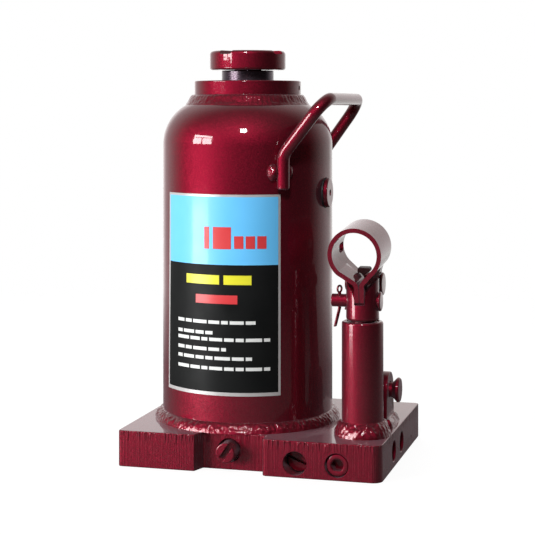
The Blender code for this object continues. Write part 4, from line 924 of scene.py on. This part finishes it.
def make_plugs():
    """Hexagon socket plugs with a countersunk mouth: the suction plug and the two gallery plugs."""
    for node, radius, flats, turn in (("suction_plug", 0.0060, 0.0060, TO_BACK),
                                      ("pressure_plug", 0.0052, 0.0048, TO_LEFT),
                                      ("delivery_plug", 0.0052, 0.0048, TO_LEFT)):
        low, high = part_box(node)
        spot = centre(node)
        if turn is TO_BACK:
            place, length = at((spot.x, low.y, spot.z), turn), high.y - low.y
        else:
            place, length = at((high.x, spot.y, spot.z), turn), high.x - low.x
        plug = turned(node.replace("plug", "socket_screw"),
                      [(0.0, 0.0), (radius, 0.0, 0.0010), (radius, length), (0.0, length)], PAINT, place, 96)
        corner = flats / math.sqrt(3)
        hexagon = [(corner * math.cos(math.pi / 3 * k), corner * math.sin(math.pi / 3 * k)) for k in range(6)]
        sink, deep = flats * 0.62, 0.001
        mouth = turned("tool", [(0.0, -deep), (sink + deep, -deep), (sink - deep, deep), (0.0, deep)], PAINT,
                       place, 64)
        carved(plug, prism("tool", hexagon, -0.002, length * 0.6, PAINT, place), mouth, edge=0.00015)
        settle([plug], "root", [node])


# ---------------------------------------------------------------- handle, filler plug
def make_carry_handle():
    """A bent round bar, with blobs of weld at its feet."""
    rod = 0.0034
    low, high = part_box("carry_handle")
    foot_radius, foot_top, grip_z = SHELL_RADIUS + rod, 0.1690, high.z - rod
    legs = []
    for name, y, grip_x, grip_y in (("front", -0.0406, 0.0557, -0.0454), ("rear", 0.0362, 0.0568, 0.0427)):
        x = math.sqrt(foot_radius ** 2 - y ** 2)
        legs.append([(x, y, low.z), (x, y, foot_top), (grip_x, grip_y, grip_z)])
        angle = math.atan2(y, x)
        for number, (turn, reach, size, height) in enumerate(((-5.6, 0.0004, 0.0040, 0.1594),
                                                              (5.2, 0.0000, 0.0033, 0.1600))):
            around = angle + math.radians(turn)
            spot = Vector((math.cos(around), math.sin(around), 0.0)) * (SHELL_RADIUS + reach)
            spot.z = height
            radii = (size * 0.8, size * 0.9, size * 1.1)
            settle([weld_lump(f"handle_weld_{name}_{number}", spot, radii, 4.0 + number)], "root")
    path = rounded_path(legs[0] + legs[1][::-1], 0.0110, 14)
    settle([swept("grab_handle", path, rod, PAINT, sides=40)], "root", ["carry_handle"])


def make_filler_plug():
    """A round cap with a blind hole in the middle, on its seal ring."""
    low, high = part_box("filler_plug")
    spot = centre("filler_plug")
    start = PLUG_SEAT + 0.0014
    stem, radius, bore, head = 0.0055, high.z - spot.z, 0.0017, high.x - start
    profile = [(0.0, low.x - start), (stem, low.x - start, 0.0008), (stem, 0.0), (radius, 0.0, 0.0003),
               (radius, head, 0.0007), (bore, head, 0.0003), (bore, head - 0.0045), (0.0, head - 0.0045)]
    place = at((start, spot.y, spot.z), TO_RIGHT)
    settle([turned("filler_cap", profile, PAINT, place, 96)], "filler", ["filler_plug"])
    low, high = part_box("filler_seal")
    inner, under, top = stem + 0.0003, low.x - start, high.x - start
    profile = [(inner, under), (radius, under, 0.0002), (radius, top, 0.0002), (inner, top)]
    settle([turned("filler_ring", profile, RUBBER, place, 96)], "filler", ["filler_seal"])


# ---------------------------------------------------------------- label
def film(name, low_angle, high_angle, low, high, radius, material, skew=0.0, steps=48, thickness=0.00012):
    """A thin patch wrapped round the shell. skew widens its lower left corner, in degrees."""
    bm = bmesh.new()
    grid = []
    for r in (radius, radius + thickness):
        layer = []
        for row, z in enumerate((low, high)):
            start = low_angle - (skew if row == 0 else 0.0)
            layer.append([bm.verts.new((r * math.cos(a), r * math.sin(a), z)) for a in
                          (math.radians(start + (high_angle - start) * k / steps) for k in range(steps + 1))])
        grid.append(layer)
    for layer in grid:
        for k in range(steps):
            bm.faces.new((layer[0][k], layer[0][k + 1], layer[1][k + 1], layer[1][k]))
    inner, outer = grid
    for row in (0, 1):
        for k in range(steps):
            bm.faces.new((inner[row][k], inner[row][k + 1], outer[row][k + 1], outer[row][k]))
    for k in (0, steps):
        bm.faces.new((inner[0][k], inner[1][k], outer[1][k], outer[0][k]))
    return add_mesh(name, bm, material)


def make_label():
    """A two-tone panel with a silver border, and plain bars where the print goes."""
    left, right = -137.6, -52.3
    low, high, boundary = LABEL_LOW.z, LABEL_HIGH.z, 0.1096
    border_angle, border, foot_border = 1.6, 0.0013, 0.0019
    level = SHELL_RADIUS + 0.00004
    step = 0.00004
    skew = 1.6
    pieces = [film("label_border", left, right, low, high, level, LABEL_SILVER, skew)]
    panel = (left + border_angle, right - border_angle)
    pieces.append(film("label_upper", *panel, boundary, high - border, level + step, LABEL_BLUE))
    pieces.append(film("label_lower", *panel, low + foot_border, boundary, level + step, LABEL_BLACK, skew))
    settle(pieces, "root", ["rating_label"])
    bars = [("rating", INK_RED, ((-103.0, -99.4, 0.1181, 0.1300), (-96.8, -84.6, 0.1181, 0.1300),
                                 (-82.6, -76.6, 0.1184, 0.1252), (-75.2, -69.2, 0.1184, 0.1252),
                                 (-67.8, -61.8, 0.1184, 0.1252))),
            ("title", INK_YELLOW, ((-117.5, -92.5, 0.0990, 0.1040), (-89.5, -71.5, 0.0990, 0.1040))),
            ("notice", INK_RED, ((-109.5, -80.5, 0.0886, 0.0933),))]
    lines = ((0.0777, -66.5), (0.0719, -95.4), (0.0684, -59.4), (0.0631, -87.9), (0.0583, -71.1),
             (0.0528, -59.4))
    for number, (height, end) in enumerate(lines):
        words, start = [], -125.7
        for k in range(20):
            length = (6.2, 9.0, 4.4, 7.6, 10.4, 5.2)[(k * 5 + number * 2) % 6]
            stop = min(start + length, end)
            if stop - start > 2.0:
                words.append((start, stop, height, height + 0.0018))
            start = stop + 1.3
            if start >= end:
                break
        bars.append((f"line_{number}", INK_WHITE, words))
    for name, ink, parts in bars:
        for number, (start, end, bottom, top) in enumerate(parts):
            bar = film(f"label_{name}_{number}", start, end, bottom, top, level + 3 * step, ink, steps=12)
            settle([bar], "root")


# ---------------------------------------------------------------- CAD nodes that stay
def dress_inner_nodes():
    """Hidden and small pieces keep their CAD shape and get a finish of their own."""
    finishes = {STEEL: ("hydraulic_cylinder", "saddle_retaining_ring", "release_ball", "safety_spring",
                        "safety_ball", "suction_ball", "delivery_ball", "delivery_spring"),
                COPPER: ("cylinder_gasket", "cylinder_top_seal", "suction_washer"),
                BRONZE: ("piston_ring",),
                RUBBER: ("piston_seal", "pump_rod_seal", "plunger_seal", "release_seal")}
    for finish, names in finishes.items():
        for name in names:
            for slot in frame["nodes"][name].material_slots:
                slot.material = finish


make_base()
make_reservoir()
make_nut()
make_ram()
make_extension_screw()
make_saddle()
make_pump()
make_plunger()
make_pin("plunger_pivot", "plunger_pin", "plunger", 0.0035, 0.0052, PUMP.x + PLUNGER_HEAD + 0.0003,
         PUMP.x - 0.0126)
make_pin("fulcrum_pivot", "fulcrum_pin", "link", 0.0040, 0.0063, PUMP.x + 0.0063, PUMP.x - 0.0112)
make_pin("link_foot_pivot", "lower_link_pin", "root", 0.0041, 0.0068, PUMP.x + 0.0112, PUMP.x - 0.0122,
         cone=0.0024)
make_socket()
make_link()
make_bracket()
make_release_spindle()
make_safety_screw()
make_plugs()
make_carry_handle()
make_filler_plug()
make_label()
dress_inner_nodes()


# ---------------------------------------------------------------- stage
def make_floor():
    """A pale sheet that thins out into the white surroundings. It looks white, and lights nothing."""
    finish = Finish("pale_floor", Base_Color=(0.14, 0.14, 0.14, 1.0), Roughness=0.8)
    finish.shader.inputs["Emission Color"].default_value = (1.0, 1.0, 1.0, 1.0)
    seen = finish.add("ShaderNodeLightPath").outputs["Is Camera Ray"]
    finish.feed(finish.shader.inputs["Emission Strength"], finish.math("MULTIPLY", seen, 0.88))
    reach = finish.add("ShaderNodeVectorMath", {0: finish.place}, operation="LENGTH").outputs["Value"]
    finish.feed(finish.shader.inputs["Alpha"], finish.ranged(reach, 0.30, 0.75, 1.0, 0.0))
    bm = bmesh.new()
    bmesh.ops.create_circle(bm, cap_ends=True, segments=96, radius=0.92)
    floor = add_mesh("floor", bm, finish.material)


def make_world():
    """White behind the jack, dim in front of it, and white wherever the camera looks past it."""
    world = bpy.data.worlds.new("studio")
    world.use_nodes = True
    bpy.context.scene.world = world
    tree = world.node_tree
    tree.nodes.clear()

    def add(kind, feeds=None, **settings):
        return add_node(tree, kind, feeds, **settings)

    def ramp(value, start, end, dim, bright):
        feeds = {"Value": value, "From Min": start, "From Max": end, "To Min": dim, "To Max": bright}
        return add("ShaderNodeMapRange", feeds, interpolation_type="SMOOTHSTEP").outputs["Result"]

    direction = add("ShaderNodeTexCoord").outputs["Generated"]
    feeds = {0: direction, 1: tuple(FORWARD)}
    behind = add("ShaderNodeVectorMath", feeds, operation="DOT_PRODUCT").outputs["Value"]
    walls = ramp(behind, -0.02, 0.75, 0.025, 0.76)
    sheet = ramp(behind, 0.80, 0.93, 0.0, 0.40)
    height = add("ShaderNodeSeparateXYZ", {"Vector": direction}).outputs["Z"]
    ceiling = ramp(height, 0.25, 0.9, 0.0, 0.12)
    upright = add("ShaderNodeMath", {0: walls, 1: sheet}, operation="ADD").outputs["Value"]
    bright = add("ShaderNodeMath", {0: upright, 1: ceiling}, operation="ADD").outputs["Value"]
    glow = add("ShaderNodeBackground", {"Color": (1.0, 0.985, 0.97, 1.0), "Strength": bright}).outputs[0]
    plain = add("ShaderNodeBackground", {"Color": (1.0, 1.0, 1.0, 1.0), "Strength": 1.0}).outputs[0]
    seen = add("ShaderNodeLightPath").outputs["Is Camera Ray"]
    shown = add("ShaderNodeMixShader", {0: seen, 1: glow, 2: plain}).outputs[0]
    add("ShaderNodeOutputWorld", {"Surface": shown})


def add_light(name, azimuth, elevation, distance, size, power, target):
    """A rectangular light, at an azimuth left (-) or right (+) of the camera as seen from the jack."""
    light = bpy.data.lights.new(name, "AREA")
    light.shape = "RECTANGLE"
    light.size, light.size_y = size
    light.energy = power
    lamp = bpy.data.objects.new(name, light)
    turn = math.radians(CAMERA_AZIMUTH + azimuth)
    rise = math.radians(elevation)
    away = Vector((math.sin(turn) * math.cos(rise), -math.cos(turn) * math.cos(rise), math.sin(rise)))
    lamp.location = Vector(target) + away * distance
    lamp.rotation_euler = away.to_track_quat("Z", "Y").to_euler()
    bpy.context.scene.collection.objects.link(lamp)


def make_camera():
    data = bpy.data.cameras.new("camera")
    data.sensor_width = 36.0
    data.lens = 99.54
    data.shift_y = -0.3038
    data.clip_start, data.clip_end = 0.05, 50.0
    camera = bpy.data.objects.new("camera", data)
    camera.location = (0.2349, -0.8094, 0.19575)
    camera.rotation_euler = (math.pi / 2, 0.0, math.radians(CAMERA_AZIMUTH))
    bpy.context.scene.collection.objects.link(camera)
    bpy.context.scene.camera = camera


SHOULDER, TUBE_FOOT = (0.0, 0.0, 0.19), (0.0, 0.0, 0.036)
CAMERA_AZIMUTH = 15.42                   # degrees to the right of the front
FORWARD = Vector((-math.sin(math.radians(CAMERA_AZIMUTH)), math.cos(math.radians(CAMERA_AZIMUTH)), 0.0))
bpy.context.scene.view_settings.view_transform = "Standard"
make_floor()
make_world()
make_camera()
add_light("window_left", -70.6, 8.4, 2.40, (0.57, 0.52), 16.4, SHOULDER)
add_light("window_right", -55.4, 8.4, 2.40, (0.57, 0.52), 16.4, SHOULDER)
add_light("window_top", -63.0, 17.8, 2.40, (1.20, 0.17), 12.4, SHOULDER)
add_light("lamp", -6.0, 36.0, 1.60, (0.20, 0.24), 16.0, SHOULDER)
add_light("table_glow", -63.0, -4.0, 0.48, (0.20, 0.22), 1.75, TUBE_FOOT)
